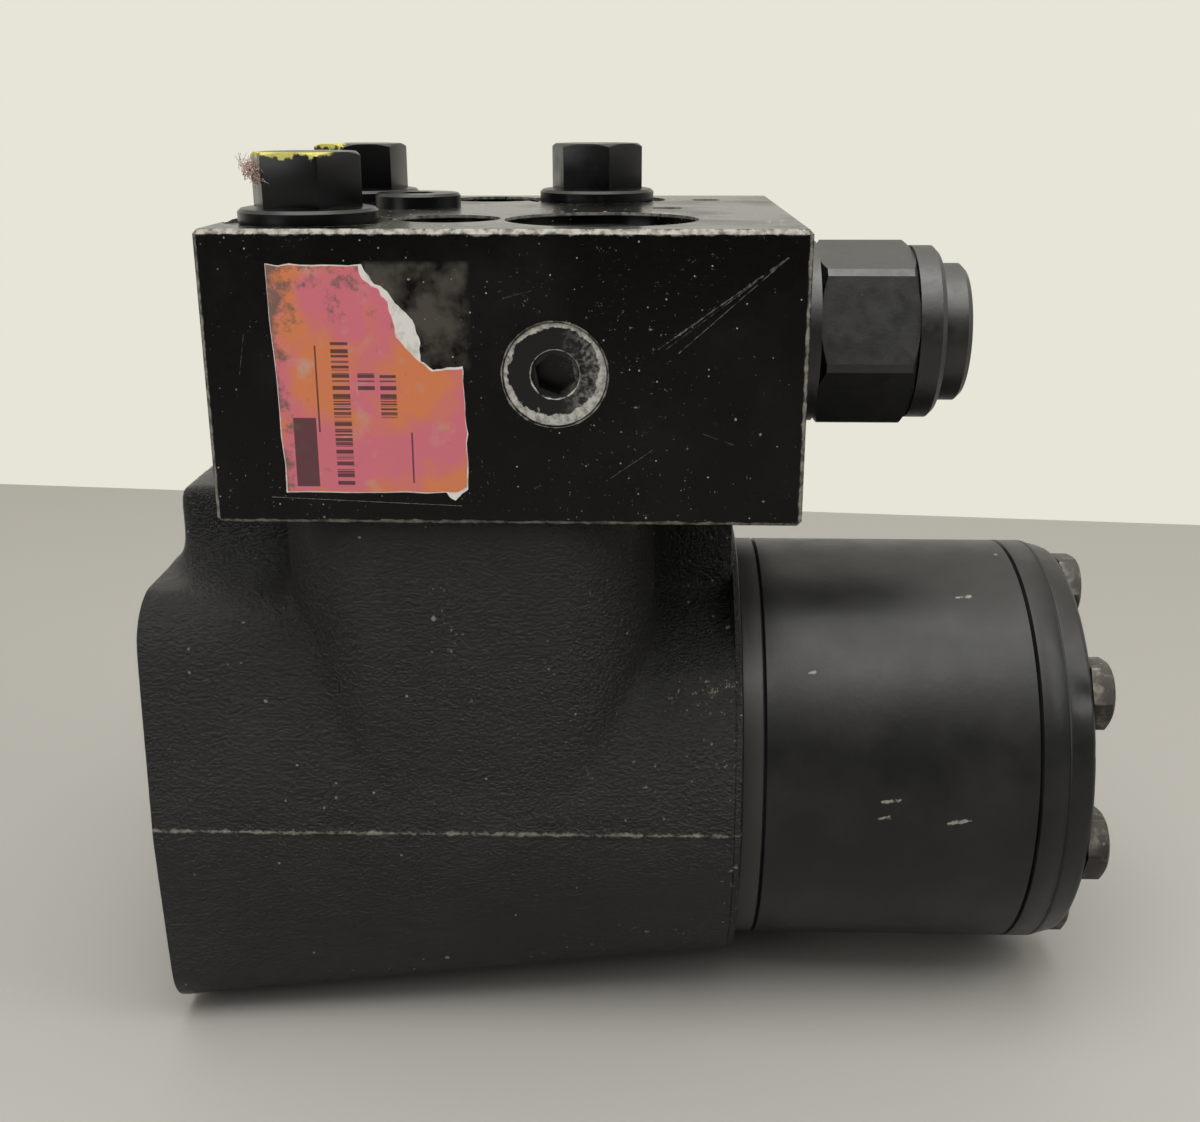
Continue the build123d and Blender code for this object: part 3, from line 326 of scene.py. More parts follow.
# glue left where the label's corner tore away
lowX, highX, lowZ, highZ = blockFinish["glueBox"]
glueX = addNode(mat, "MapRange", [axes[0], lowX * mm, (lowX + 1.0) * mm])
glueEnd = addNode(mat, "MapRange", [axes[0], highX * mm, (highX - 1.2) * mm])
glueZ = addNode(mat, "MapRange", [axes[2], lowZ * mm, (lowZ + 1.2) * mm])
glueTop = addNode(mat, "MapRange", [axes[2], highZ * mm, (highZ - 0.9) * mm])
glueFront = addNode(mat, "MapRange", [axes[1], -48.2 * mm, -48.3 * mm])
glue = blotches(mat, at, 5, 0.34, 0.6, 6)
for part in (glueX, glueEnd, glueZ, glueTop, glueFront):
    glue = addNode(mat, "Math", [glue, part], operation="MULTIPLY")
haze = blotches(mat, at, 18, 0.48, 0.8, 6)
colour = addNode(
    mat,
    "Mix",
    [haze, hexColour(blockFinish["enamel"]), hexColour(blockFinish["haze"])],
    data_type="RGBA",
)
colour = addNode(mat, "Mix", [glue, colour, hexColour(blockFinish["glue"])], data_type="RGBA")
colour = addNode(mat, "Mix", [dust, colour, hexColour(blockFinish["dust"])], data_type="RGBA")
steel = addNode(
    mat,
    "Mix",
    [
        blotches(mat, at, 1.6, 0.42, 0.62, 5),
        hexColour(blockFinish["bare"]),
        hexColour(blockFinish["stain"]),
    ],
    data_type="RGBA",
)
colour = addNode(mat, "Mix", [bare, colour, steel], data_type="RGBA")
matt = addNode(mat, "MapRange", [haze, 0, 1, 0.20, 0.38])
matt = addNode(mat, "Mix", [glue, matt, 0.7], data_type="FLOAT")
matt = addNode(mat, "Mix", [most(mat, [dust, bare]), matt, 0.5], data_type="FLOAT")
# the spray's orange peel, about 1.6 mm
ripple = addNode(mat, "TexNoise", {"Vector": at, "Scale": 1 / (1.6 * mm), "Detail": 4})
ripple = addNode(mat, "Math", [glue, 1.5, ripple], operation="MULTIPLY_ADD")
wire(
    mat,
    Base_Color=colour,
    Roughness=matt,
    Metallic=addNode(mat, "Math", [bare, 0.3], operation="MULTIPLY"),
    Normal=addNode(mat, "Bump", {"Height": ripple, "Strength": 1.0, "Distance": 0.022 * mm}),
)

# charcoalSteel: turned steel under thin charcoal paint; fine turning lines run round the axis
gerotorFinish = {
    "paint": "#171718",
    "haze": "#282726",
    "plate": "#363533",
    "chip": "#a9a398",
    "turning": 0.5,  # mm between turning lines
    "radius": 42.8,
    "knocks": (  # x, degrees above the front, length
        (140.0, 6.9, 3.4),
        (139.4, 2.2, 2.0),
        (152.8, 1.2, 4.2),
        (156.6, 63.8, 3.0),
        (126.0, 40.0, 1.2),
    ),
}
charcoalSteel = mat = newMaterial("charcoalSteel", gerotorFinish["paint"], 0.36, ior=1.37)
at = placeOf(mat)
turned = addNode(mat, "Mapping", {"Vector": at, "Scale": (1, 0.02, 0.02)})
lines = addNode(
    mat, "TexNoise", {"Vector": turned, "Scale": 1 / (gerotorFinish["turning"] * mm), "Detail": 3}
)
peel = addNode(mat, "TexNoise", {"Vector": at, "Scale": 1 / (1.1 * mm), "Detail": 4})
lines = addNode(mat, "Math", [lines, 0.4, peel], operation="MULTIPLY_ADD")
chips = [specks(mat, at, 0.5, 7, 0.14)]
for x, angle, length in gerotorFinish["knocks"]:
    y = -gerotorFinish["radius"] * cos(radians(angle))
    z = gerotorFinish["radius"] * sin(radians(angle))
    chips.append(scratch(mat, at, (x, y, z), (x + length, y, z + length * 0.15), 0.8))
flaked = blotches(mat, at, 1.2, 0.36, 0.5, 5)
chips = addNode(mat, "Math", [most(mat, chips), flaked], operation="MULTIPLY")
chips = addNode(mat, "Math", [chips, 0.75], operation="MULTIPLY")
colour = addNode(
    mat,
    "Mix",
    [
        blotches(mat, at, 20, 0.45, 0.75),
        hexColour(gerotorFinish["paint"]),
        hexColour(gerotorFinish["haze"]),
    ],
    data_type="RGBA",
)
# the spacer plate next to the housing took less paint
plate = addNode(mat, "SeparateXYZ", [at]).node.outputs[0]
plate = addNode(mat, "MapRange", [plate, 117.6 * mm, 117.4 * mm])
colour = addNode(mat, "Mix", [plate, colour, hexColour(gerotorFinish["plate"])], data_type="RGBA")
wire(
    mat,
    Base_Color=addNode(
        mat, "Mix", [chips, colour, hexColour(gerotorFinish["chip"])], data_type="RGBA"
    ),
    Roughness=addNode(mat, "MapRange", [blotches(mat, at, 9, 0.3, 0.8), 0, 1, 0.33, 0.47]),
    Normal=addNode(mat, "Bump", {"Height": lines, "Strength": 1.0, "Distance": 0.03 * mm}),
)

# blackPlating: zinc-iron plated steel, black and half shiny, rubbed grey on its corners
plugFinish = {"plating": "#070708", "rubbed": "#3a3937", "paint": "#c9c165"}
blackPlating = mat = newMaterial("blackPlating", plugFinish["plating"], 0.3, 0.1, ior=1.4)
at = placeOf(mat)
rub = most(mat, [specks(mat, at, 0.5, 3, 0.25), blotches(mat, at, 5, 0.62, 0.75, 6)])
rub = addNode(mat, "Math", [rub, 0.6], operation="MULTIPLY")
wire(
    mat,
    Base_Color=addNode(
        mat,
        "Mix",
        [rub, hexColour(plugFinish["plating"]), hexColour(plugFinish["rubbed"])],
        data_type="RGBA",
    ),
    Roughness=addNode(mat, "MapRange", [blotches(mat, at, 6, 0.3, 0.7), 0, 1, 0.24, 0.42]),
)

# paintedPlating: the same plating with inspector's yellow paint left on the head's corners
paintedPlating = mat = newMaterial("paintedPlating", plugFinish["plating"], 0.32, 0.1, ior=1.4)
at = placeOf(mat)
axes = addNode(mat, "SeparateXYZ", [at]).node.outputs
# it runs down unevenly from the head's rim, most of it at the front
runs = addNode(
    mat, "TexNoise", {"Vector": at, "Scale": 1 / (2.2 * mm), "Detail": 5, "Roughness": 0.6}
)
level = addNode(mat, "Math", [runs, 5.2 * mm, axes[2]], operation="MULTIPLY_ADD")
onTop = addNode(mat, "MapRange", [level, 125.9 * mm, 126.3 * mm])
# and it reaches over to the corner of the plug behind
toLeft = addNode(mat, "Math", [axes[1], 0.17, axes[0]], operation="MULTIPLY_ADD")
toLeft = addNode(mat, "Math", [runs, 6 * mm, toLeft], operation="MULTIPLY_ADD")
toLeft = addNode(mat, "MapRange", [toLeft, 36.6 * mm, 36.2 * mm])
onRim = addNode(mat, "VectorMath", [at, Vector((*plugSpot, 123.6)) * mm], operation="DISTANCE")
onRim = addNode(mat, "Math", [runs, 3.5 * mm, onRim], operation="MULTIPLY_ADD")
onRim = addNode(mat, "MapRange", [onRim, 9.4 * mm, 9.9 * mm])
smear = addNode(mat, "Math", [onTop, onRim], operation="MULTIPLY")
smear = addNode(mat, "Math", [smear, toLeft], operation="MULTIPLY")
wire(
    mat,
    Base_Color=addNode(
        mat,
        "Mix",
        [smear, hexColour(plugFinish["plating"]), hexColour(plugFinish["paint"])],
        data_type="RGBA",
    ),
    Roughness=addNode(mat, "MapRange", [smear, 0, 1, 0.30, 0.6]),
    Metallic=addNode(mat, "MapRange", [smear, 0, 1, 0.1, 0.0]),
)

# blackPhosphate: manganese phosphate on the cartridge, matt and faintly mottled
phosphate = {"coat": "#0d0d0e", "mottle": "#1a1a1b", "rubbed": "#4a4845"}
blackPhosphate = mat = newMaterial("blackPhosphate", phosphate["coat"], 0.42, ior=1.6)
at = placeOf(mat)
colour = addNode(
    mat,
    "Mix",
    [blotches(mat, at, 6, 0.4, 0.75), hexColour(phosphate["coat"]), hexColour(phosphate["mottle"])],
    data_type="RGBA",
)
rub = addNode(mat, "Math", [specks(mat, at, 0.4, 2.4, 0.18), 0.6], operation="MULTIPLY")
wire(
    mat,
    Base_Color=addNode(mat, "Mix", [rub, colour, hexColour(phosphate["rubbed"])], data_type="RGBA"),
    Roughness=addNode(mat, "MapRange", [blotches(mat, at, 3, 0.3, 0.7), 0, 1, 0.34, 0.5]),
    Normal=addNode(
        mat,
        "Bump",
        {
            "Height": addNode(
                mat, "TexNoise", {"Vector": at, "Scale": 1 / (0.6 * mm), "Detail": 4}
            ),
            "Strength": 1.0,
            "Distance": 0.02 * mm,
        },
    ),
)

# gunmetalBolt: black-oxide screws; the oxide is thin, so steel shows warm grey through it
bolts = {"oxide": "#3b3936", "steel": "#6f6b64"}
gunmetalBolt = mat = newMaterial("gunmetalBolt", bolts["oxide"], 0.36, 0.85)
at = placeOf(mat)
worn = most(mat, [blotches(mat, at, 3.5, 0.48, 0.7, 6), specks(mat, at, 0.4, 2, 0.3)])
wire(
    mat,
    Base_Color=addNode(
        mat, "Mix", [worn, hexColour(bolts["oxide"]), hexColour(bolts["steel"])], data_type="RGBA"
    ),
    Roughness=addNode(mat, "MapRange", [worn, 0, 1, 0.42, 0.28]),
)

# wornPlug: oxide-black socket plug whose rim has been wrenched bright
wornRim = {
    "coat": "#0c0c0c",
    "oxide": "#070707",
    "bright": "#c2bfb8",
    "dull": "#6b6863",
    # shift sideways and up from the plug's axis, radius and raggedness, in mm
    "circles": ((0, 0, 8.35, 0.5), (-0.35, 0.75, 7.7, 2.2), (0, 0, 8.0, 2.6)),
}
wornPlug = mat = newMaterial("wornPlug", wornRim["coat"], 0.35, 0.1)
at = placeOf(mat)
rag = addNode(
    mat, "TexNoise", {"Vector": at, "Scale": 1 / (2.0 * mm), "Detail": 6, "Roughness": 0.62}
)
rim = [blotches(mat, at, 2.2, 0.66, 0.8, 6)]
# bare past each radius; the second circle sits high, so its ring thickens below
for side, up, radius, ragged in wornRim["circles"]:
    spot = Vector((socketSpot[0] + side, 0, socketSpot[2] + up))
    rel = addNode(mat, "VectorMath", [at, spot * mm], operation="SUBTRACT")
    rel = addNode(mat, "VectorMath", [rel, (1, 0, 1)], operation="MULTIPLY")
    gap = addNode(mat, "VectorMath", [rel], operation="LENGTH")
    gap = addNode(mat, "Math", [rag, ragged * mm, gap], operation="MULTIPLY_ADD")
    edge = (radius + 0.5 * ragged) * mm
    rim.append(addNode(mat, "MapRange", [gap, edge, edge + 0.15 * mm]))
rim.append(ringMark(mat, at, socketSpot, (1, 0, 1), 4.25, 0.25))
# greasy dust has dried on the side away from the label
grime = addNode(mat, "SeparateXYZ", [at]).node.outputs[0]
grime = addNode(mat, "MapRange", [grime, 79.5 * mm, 83.5 * mm])
grime = addNode(mat, "Math", [grime, blotches(mat, at, 0.7, 0.42, 0.6, 5)], operation="MULTIPLY")
grime = addNode(mat, "Math", [grime, 0.35], operation="MULTIPLY")
rim = most(mat, [*rim, grime])
steel = addNode(
    mat,
    "Mix",
    [
        blotches(mat, at, 0.9, 0.42, 0.7, 6),
        hexColour(wornRim["bright"]),
        hexColour(wornRim["dull"]),
    ],
    data_type="RGBA",
)
wire(
    mat,
    Base_Color=addNode(mat, "Mix", [rim, hexColour(wornRim["oxide"]), steel], data_type="RGBA"),
    Roughness=addNode(mat, "MapRange", [rim, 0, 1, 0.35, 0.5]),
)

# groundSteel: hardened steel off the grinder, fine lines round the axis
groundFinish = {"bright": "#b4b3b0", "dull": "#8b8985"}
groundSteel = mat = newMaterial("groundSteel", groundFinish["bright"], 0.22, 1.0)
at = placeOf(mat)
turned = addNode(mat, "Mapping", {"Vector": at, "Scale": (1, 0.05, 0.05)})
lines = addNode(mat, "TexNoise", {"Vector": turned, "Scale": 1 / (0.4 * mm), "Detail": 4})
wire(
    mat,
    Base_Color=addNode(
        mat,
        "Mix",
        [
            blotches(mat, at, 6, 0.4, 0.8),
            hexColour(groundFinish["bright"]),
            hexColour(groundFinish["dull"]),
        ],
        data_type="RGBA",
    ),
    Roughness=addNode(mat, "MapRange", [lines, 0.3, 0.7, 0.18, 0.34]),
    Normal=addNode(mat, "Bump", {"Height": lines, "Strength": 1.0, "Distance": 0.006 * mm}),
)

# springSteel: oil-tempered wire and leaves, dark straw grey
tempered = {"bright": "#6d6a64", "dull": "#4a4741"}
springSteel = mat = newMaterial("springSteel", tempered["bright"], 0.35, 1.0)
at = placeOf(mat)
wire(
    mat,
    Base_Color=addNode(
        mat,
        "Mix",
        [
            blotches(mat, at, 3, 0.4, 0.7),
            hexColour(tempered["bright"]),
            hexColour(tempered["dull"]),
        ],
        data_type="RGBA",
    ),
)

# nitrileRubber: moulded seal rubber, matt with a slight bloom
rubber = {"fresh": "#0f0f0f", "bloom": "#222120"}
nitrileRubber = mat = newMaterial("nitrileRubber", rubber["fresh"], 0.6)
at = placeOf(mat)
bloom = blotches(mat, at, 3, 0.45, 0.8)
wire(
    mat,
    Base_Color=addNode(
        mat,
        "Mix",
        [bloom, hexColour(rubber["fresh"]), hexColour(rubber["bloom"])],
        data_type="RGBA",
    ),
    Roughness=addNode(mat, "MapRange", [bloom, 0, 1, 0.5, 0.7]),
)

# labelPrint: pink and orange printed film, faded and smudged, with plain bars and rules only
label = {
    "pink": "#d4707f",
    "orange": "#d97f52",
    "faded": "#c9a08f",
    "dirt": "#5d554b",
    "ink": "#2c2426",
    "bands": ((40.4, 43.4, 68.2, 93.6), (44.8, 47.7, 85.2, 88.4), (48.6, 51.4, 80.3, 88.0)),
    "rules": ((37.6, 37.9, 78.0, 93.0), (53.6, 53.9, 69.0, 78.0), (33.2, 37.2, 68.3, 80.5)),
}
labelPrint = mat = newMaterial("labelPrint", label["pink"], 0.5)
at = placeOf(mat)
axes = addNode(mat, "SeparateXYZ", [at]).node.outputs
tint = blotches(mat, at, 13, 0.44, 0.58, 2)
colour = addNode(
    mat, "Mix", [tint, hexColour(label["pink"]), hexColour(label["orange"])], data_type="RGBA"
)
fade = blotches(mat, at, 8, 0.56, 0.74, 5)
colour = addNode(mat, "Mix", [fade, colour, hexColour(label["faded"])], data_type="RGBA")
# each band is a row of bars with uneven gaps, each rule a plain line
bars = addNode(
    mat, "TexNoise", {"W": axes[2], "Scale": 1 / (0.7 * mm), "Detail": 2}, noise_dimensions="1D"
)
bars = addNode(mat, "MapRange", [bars, 0.49, 0.51])
ink = None
for group, pattern in ((label["bands"], bars), (label["rules"], None)):
    for x0, x1, z0, z1 in group:
        area = addNode(mat, "MapRange", [axes[0], (x0 - 0.05) * mm, (x0 + 0.05) * mm])
        for part in (
            addNode(mat, "MapRange", [axes[0], (x1 + 0.05) * mm, (x1 - 0.05) * mm]),
            addNode(mat, "MapRange", [axes[2], (z0 - 0.05) * mm, (z0 + 0.05) * mm]),
            addNode(mat, "MapRange", [axes[2], (z1 + 0.05) * mm, (z1 - 0.05) * mm]),
            *([pattern] if pattern else []),
        ):
            area = addNode(mat, "Math", [area, part], operation="MULTIPLY")
        ink = area if ink is None else addNode(mat, "Math", [ink, area], operation="MAXIMUM")
ink = addNode(mat, "Math", [ink, 0.85], operation="MULTIPLY")
colour = addNode(mat, "Mix", [ink, colour, hexColour(label["ink"])], data_type="RGBA")
# dirt gathers at the top and left edges
toTop = addNode(mat, "MapRange", [axes[2], 94 * mm, 107 * mm, 0.0, 0.16])
toLeft = addNode(mat, "MapRange", [axes[0], 35 * mm, 30 * mm, 0.0, 0.24])
dirt = addNode(
    mat, "TexNoise", {"Vector": at, "Scale": 1 / (2.6 * mm), "Detail": 6, "Roughness": 0.7}
)
dirt = addNode(mat, "Math", [dirt, toTop], operation="ADD")
dirt = addNode(mat, "Math", [dirt, toLeft], operation="ADD")
dirt = addNode(mat, "MapRange", [dirt, 0.63, 0.78, 0.0, 0.85])
colour = addNode(mat, "Mix", [dirt, colour, hexColour(label["dirt"])], data_type="RGBA")
wire(
    mat,
    Base_Color=colour,
    Roughness=addNode(mat, "MapRange", [dirt, 0, 1, 0.42, 0.7]),
    Normal=addNode(
        mat,
        "Bump",
        {
            "Height": addNode(mat, "TexNoise", {"Vector": at, "Scale": 1 / (3 * mm), "Detail": 3}),
            "Strength": 1.0,
            "Distance": 0.05 * mm,
        },
    ),
)

# tornPaper: the label's bare white backing, fibrous where it tore
paper = {"base": "#ddd8d2", "clean": "#e4e0da", "soiled": "#b5aea3"}
tornPaper = mat = newMaterial("tornPaper", paper["base"], 0.75)
at = placeOf(mat)
wire(
    mat,
    Base_Color=addNode(
        mat,
        "Mix",
        [
            blotches(mat, at, 1.5, 0.5, 0.8, 6),
            hexColour(paper["clean"]),
            hexColour(paper["soiled"]),
        ],
        data_type="RGBA",
    ),
)

# lintFibre: loose cotton lint, pale and dusty pink
cotton = {"base": "#b99c90", "pale": "#d0b6ab", "dusty": "#a5897e"}
lintFibre = mat = newMaterial("lintFibre", cotton["base"], 0.8)
at = placeOf(mat)
wire(
    mat,
    Base_Color=addNode(
        mat,
        "Mix",
        [blotches(mat, at, 0.8, 0.4, 0.6), hexColour(cotton["pale"]), hexColour(cotton["dusty"])],
        data_type="RGBA",
    ),
)
print("materials ready")


def newPiece(name, bm, mat, body, replaced=(), angle=35):
    mesh = bpy.data.meshes.new(name)
    bm.to_mesh(mesh)
    bm.free()
    obj = bpy.data.objects.new(name, mesh)
    bpy.context.scene.collection.objects.link(obj)
    mesh.materials.append(mat)
    mesh.polygons.foreach_set("use_smooth", [True] * len(mesh.polygons))
    mesh.set_sharp_from_angle(angle=radians(angle))
    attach(obj, body)
    if replaced:
        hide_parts(*replaced)
    print("piece", name, len(mesh.polygons), "faces")
    return obj


def softEdges(bm, width, angle=35, segments=2):
    # breaks every edge that turns by more than the angle
    sharp = [e for e in bm.edges if e.is_manifold and e.calc_face_angle(0) > radians(angle)]
    bmesh.ops.bevel(
        bm,
        geom=sharp,
        offset=width * mm,
        offset_type="OFFSET",
        segments=segments,
        profile=0.5,
        affect="EDGES",
        clamp_overlap=True,
        material=-1,
    )
    return bm


def lathe(profile, centre=(0, 0, 0), axis=(1, 0, 0), steps=128):
    # spins (along, radius) points in mm about an axis; the profile starts and ends on the axis
    axis = Vector(axis).normalized()
    across = Vector((0, 0, 1)) if abs(axis.z) < 0.5 else Vector((1, 0, 0))
    centre = Vector(centre) * mm
    bm = bmesh.new()
    verts = [bm.verts.new(centre + axis * a * mm + across * r * mm) for a, r in profile]
    edges = [bm.edges.new(pair) for pair in zip(verts, verts[1:])]
    if profile[0][1] > 0:
        edges.append(bm.edges.new((verts[-1], verts[0])))
    bmesh.ops.spin(
        bm, geom=verts + edges, cent=centre, axis=axis, angle=2 * pi, steps=steps, use_merge=True
    )
    bmesh.ops.remove_doubles(bm, verts=bm.verts, dist=1e-7)
    bmesh.ops.dissolve_degenerate(bm, edges=bm.edges, dist=1e-8)
    bmesh.ops.recalc_face_normals(bm, faces=bm.faces)
    return bm


def prism(sides, flats, length, centre, axis, turn):
    # a prism in mm from centre along axis; turn is where one corner points
    bm = bmesh.new()
    corner = flats / 2 / cos(pi / sides) * mm
    bmesh.ops.create_cone(
        bm, cap_ends=True, segments=sides, radius1=corner, radius2=corner, depth=length * mm
    )
    bmesh.ops.translate(bm, verts=bm.verts, vec=(0, 0, length * mm / 2))
    stand = Vector(axis).to_track_quat("Z", "Y").to_matrix().to_4x4()
    spin = Matrix.Rotation(radians(turn - 90), 4, "Z")
    put = Matrix.Translation(Vector(centre) * mm) @ stand @ spin
    bmesh.ops.transform(bm, matrix=put, verts=bm.verts)
    bmesh.ops.recalc_face_normals(bm, faces=bm.faces)
    return bm


def joined(first, *others):
    for other in others:
        mesh = bpy.data.meshes.new("joining")
        other.to_mesh(mesh)
        other.free()
        first.from_mesh(mesh)
        bpy.data.meshes.remove(mesh)
    return first


def moved(bm, matrix):
    # a moved copy of a mesh
    copy = bm.copy()
    bmesh.ops.transform(copy, matrix=matrix, verts=copy.verts)
    return copy


def standIn(bm):
    mesh = bpy.data.meshes.new("standIn")
    bm.to_mesh(mesh)
    bm.free()
    obj = bpy.data.objects.new("standIn", mesh)
    bpy.context.scene.collection.objects.link(obj)
    return obj


def applied(obj, *helpers):
    # the object's mesh with its modifiers in it; the objects go
    bpy.context.view_layer.update()
    ready = obj.evaluated_get(bpy.context.evaluated_depsgraph_get())
    mesh = bpy.data.meshes.new_from_object(ready)
    out = bmesh.new()
    out.from_mesh(mesh)
    for gone in (obj, *helpers):
        data = gone.data
        bpy.data.objects.remove(gone)
        bpy.data.meshes.remove(data)
    bpy.data.meshes.remove(mesh)
    return out


def carved(bm, tool, operation="DIFFERENCE"):
    # a Boolean between two closed meshes; both are used up
    blank, cutter = standIn(bm), standIn(tool)
    cut = blank.modifiers.new("cut", "BOOLEAN")
    cut.operation = operation
    cut.solver = "EXACT"
    cut.object = cutter
    return applied(blank, cutter)


def cadCopy(node):
    bm = bmesh.new()
    bm.from_mesh(nodes[node].data)
    bmesh.ops.remove_doubles(bm, verts=bm.verts, dist=1e-6)
    return bm


def skinned(node, skin, reach=39.5):
    # keeps the node's bores and holes under a finer turned skin: the node's outer wall and
    # ends are pushed out past the skin before the two are intersected
    core = cadCopy(node)
    low = min(v.co.x for v in core.verts)
    high = max(v.co.x for v in core.verts)
    for v in core.verts:
        far = hypot(v.co.y, v.co.z)
        if far > reach * mm:
            v.co.y *= (reach + 8) * mm / far
            v.co.z *= (reach + 8) * mm / far
        if v.co.x < low + 0.01 * mm:
            v.co.x -= 1 * mm
        elif v.co.x > high - 0.01 * mm:
            v.co.x += 1 * mm
    return carved(core, skin, "INTERSECT")


# housing: the casting is melted together from its CAD form, then machined again
casting = {
    "faceZ": 61.5,
    "skinEnd": 111.6,  # x where the machined rim begins
    "mountPitch": 29.17,  # of the four column screws, from the axis
    "screwCircle": 34.5,
    "screws": 7,
    "blockScrews": ((45, -18), (45, 18), (77, -18), (77, 18)),  # x and y
    "grit": 0.95,  # mm, size of the remeshing voxels
    "softness": 7,  # smoothing passes, which make the casting's fillets
    "flash": 0.35,  # mm that the parting flash stands proud
    "grain": 0.09,  # mm of sand-cast relief in the skin itself
    "boreSteps": (
        (-1, 0), (-1, 21.55), (2.0, 21.55), (2.0, 23.0), (3.6, 23.0), (3.6, 21.55),
        (18.2, 21.55), (18.2, 19.05), (114, 19.05), (114, 0),
    ),
}
pitch = casting["mountPitch"]
blank = cadCopy("housing")
for v in blank.verts:
    if v.co.x < 0.01 * mm:
        v.co.x = -4 * mm
    if v.co.z > (casting["faceZ"] - 0.01) * mm:
        v.co.z = 65 * mm
filling = joined(
    blank,
    lathe([(-3.5, 0), (-3.5, 40.2), (112.9, 40.2), (112.9, 0)], steps=48),
    *[
        lathe([(-3.5, 0), (-3.5, 7), (22, 7), (22, 0)], (0, y, z), steps=16)
        for y in (-pitch, pitch)
        for z in (-pitch, pitch)
    ],
    prism(4, 54, 64.5, (61, 0, 0), (0, 0, 1), 45),
    *[prism(4, 40, 64.5, (61, y, 0), (0, 0, 1), 45) for y in (-20, 20)],
)
melt = standIn(filling)
remesh = melt.modifiers.new("melt", "REMESH")
remesh.mode = "VOXEL"
remesh.voxel_size = casting["grit"] * mm
body = applied(melt)


def trimmed(bm, point, normal):
    # cuts a closed mesh flat and closes the cut
    cut = bmesh.ops.bisect_plane(
        bm,
        geom=bm.verts[:] + bm.edges[:] + bm.faces[:],
        plane_co=Vector(point) * mm,
        plane_no=normal,
        clear_outer=True,
    )
    border = [e for e in cut["geom_cut"] if isinstance(e, bmesh.types.BMEdge)]
    bmesh.ops.holes_fill(bm, edges=border, sides=0)


trimmed(body, (casting["skinEnd"], 0, 0), (1, 0, 0))
free = [v for v in body.verts if v.co.x < 111.2 * mm]
for i in range(casting["softness"]):
    bmesh.ops.smooth_vert(
        body, verts=free, factor=0.5, use_axis_x=True, use_axis_y=True, use_axis_z=True
    )
body.normal_update()
for v in free:
    # sand grain in the skin, and ragged flash along the parting line
    v.co += v.normal * casting["grain"] * mm * noise.noise(v.co * 420)
    if abs(v.co.y) > 42 * mm and abs(v.co.z - castIron["partingHeight"] * mm) < 0.7 * mm:
        proud = casting["flash"] * mm * (0.5 + noise.noise(v.co * 180))
        v.co.y += proud if v.co.y > 0 else -proud
trimmed(body, (0, 0, 0), (-1, 0, 0))
trimmed(body, (0, 0, casting["faceZ"]), (0, 0, 1))
rimDisc = lathe([(111.5, 0), (111.5, 45.9), (111.75, 46.2), (112.75, 46.2), (113, 45.95), (113, 0)])
body = carved(body, rimDisc, "UNION")
holes = [lathe(casting["boreSteps"])]
for y in (-pitch, pitch):
    for z in (-pitch, pitch):
        holes.append(
            lathe([(-1, 0), (-1, 6), (0, 6), (1, 5), (18, 5), (20.5, 0)], (0, y, z), steps=32)
        )
for i in range(casting["screws"]):
    turn = radians(90 + i * 360 / casting["screws"])
    y, z = casting["screwCircle"] * cos(turn), casting["screwCircle"] * sin(turn)
    holes.append(lathe([(95, 0), (95, 4.0), (114, 4.0), (114, 0)], (0, y, z), steps=24))
for x, y in casting["blockScrews"]:
    hole = lathe([(43.5, 0), (43.5, 5.2), (62, 5.2), (62, 0)], (x, y, 0), (0, 0, 1), steps=32)
    holes.append(hole)
body = carved(body, joined(*holes))
newPiece("housing_casting", body, castBlackPaint, "unit", ["housing"], 40)
print("housing ready")

# spacer plate, stator ring and end cap: fine turned skins with broken edges at the seams
turnedSkins = {
    "radius": gerotorFinish["radius"],
    "seams": (113, 117.5, 170),  # x where plate, ring and cap begin
    "seam": 0.4,  # mm broken off at each seam, twice as deep
    "nick": 0.5,  # mm, deepest knock on the cap's rim
}
radius, seam = turnedSkins["radius"], turnedSkins["seam"]
low = radius - 2 * seam
plateX, ringX, capX = turnedSkins["seams"]
plate = lathe(
    [(plateX, 0), (plateX, radius - seam), (plateX + seam, radius)]
    + [(ringX - seam, radius), (ringX, low), (ringX, 0)],
    steps=160,
)
newPiece(
    "spacer_skin",
    skinned("spacer_plate", plate),
    charcoalSteel,
    "unit",
    ["spacer_plate"],
)
ring = lathe(
    [(ringX, 0), (ringX, low), (ringX + seam, radius)]
    + [(capX - seam, radius), (capX, low), (capX, 0)],
    steps=160,
)
newPiece(
    "stator_skin",
    skinned("stator_ring", ring),
    charcoalSteel,
    "unit",
    ["stator_ring"],
)
rimPoints = []
for angle in (10, 30, 50, 70, 88):
    rimPoints.append((179.2 + 1.5 * sin(radians(angle)), 40.25 + 1.5 * cos(radians(angle))))
cap = lathe(
    [(capX, 0), (capX, low), (capX + seam, radius), (175.1, radius)]
    + [(175.2, radius - 0.2), (175.4, radius - 0.2), (175.5, radius), (175.9, radius - 0.05)]
    + [(177.5, 42.25), *rimPoints, (180.7, 39.6), (180.7, 0)],
    steps=240,
)
for v in cap.verts:
    # knocks along the rim, most of them at the front
    if v.co.x > 176 * mm and hypot(v.co.y, v.co.z) > 40 * mm:
        turn = atan2(v.co.z, -v.co.y)
        dent = max(0.0, noise.noise(Vector((v.co.x * 160, turn * 9, 1.7))) - 0.18)
        dent *= 2.2 if radians(5) < turn < radians(45) else 0.8
        v.co.y *= 1 - dent * turnedSkins["nick"] / 42
        v.co.z *= 1 - dent * turnedSkins["nick"] / 42
newPiece("cap_skin", skinned("end_cap", cap), charcoalSteel, "unit", ["end_cap"])
print("gerotor ready")

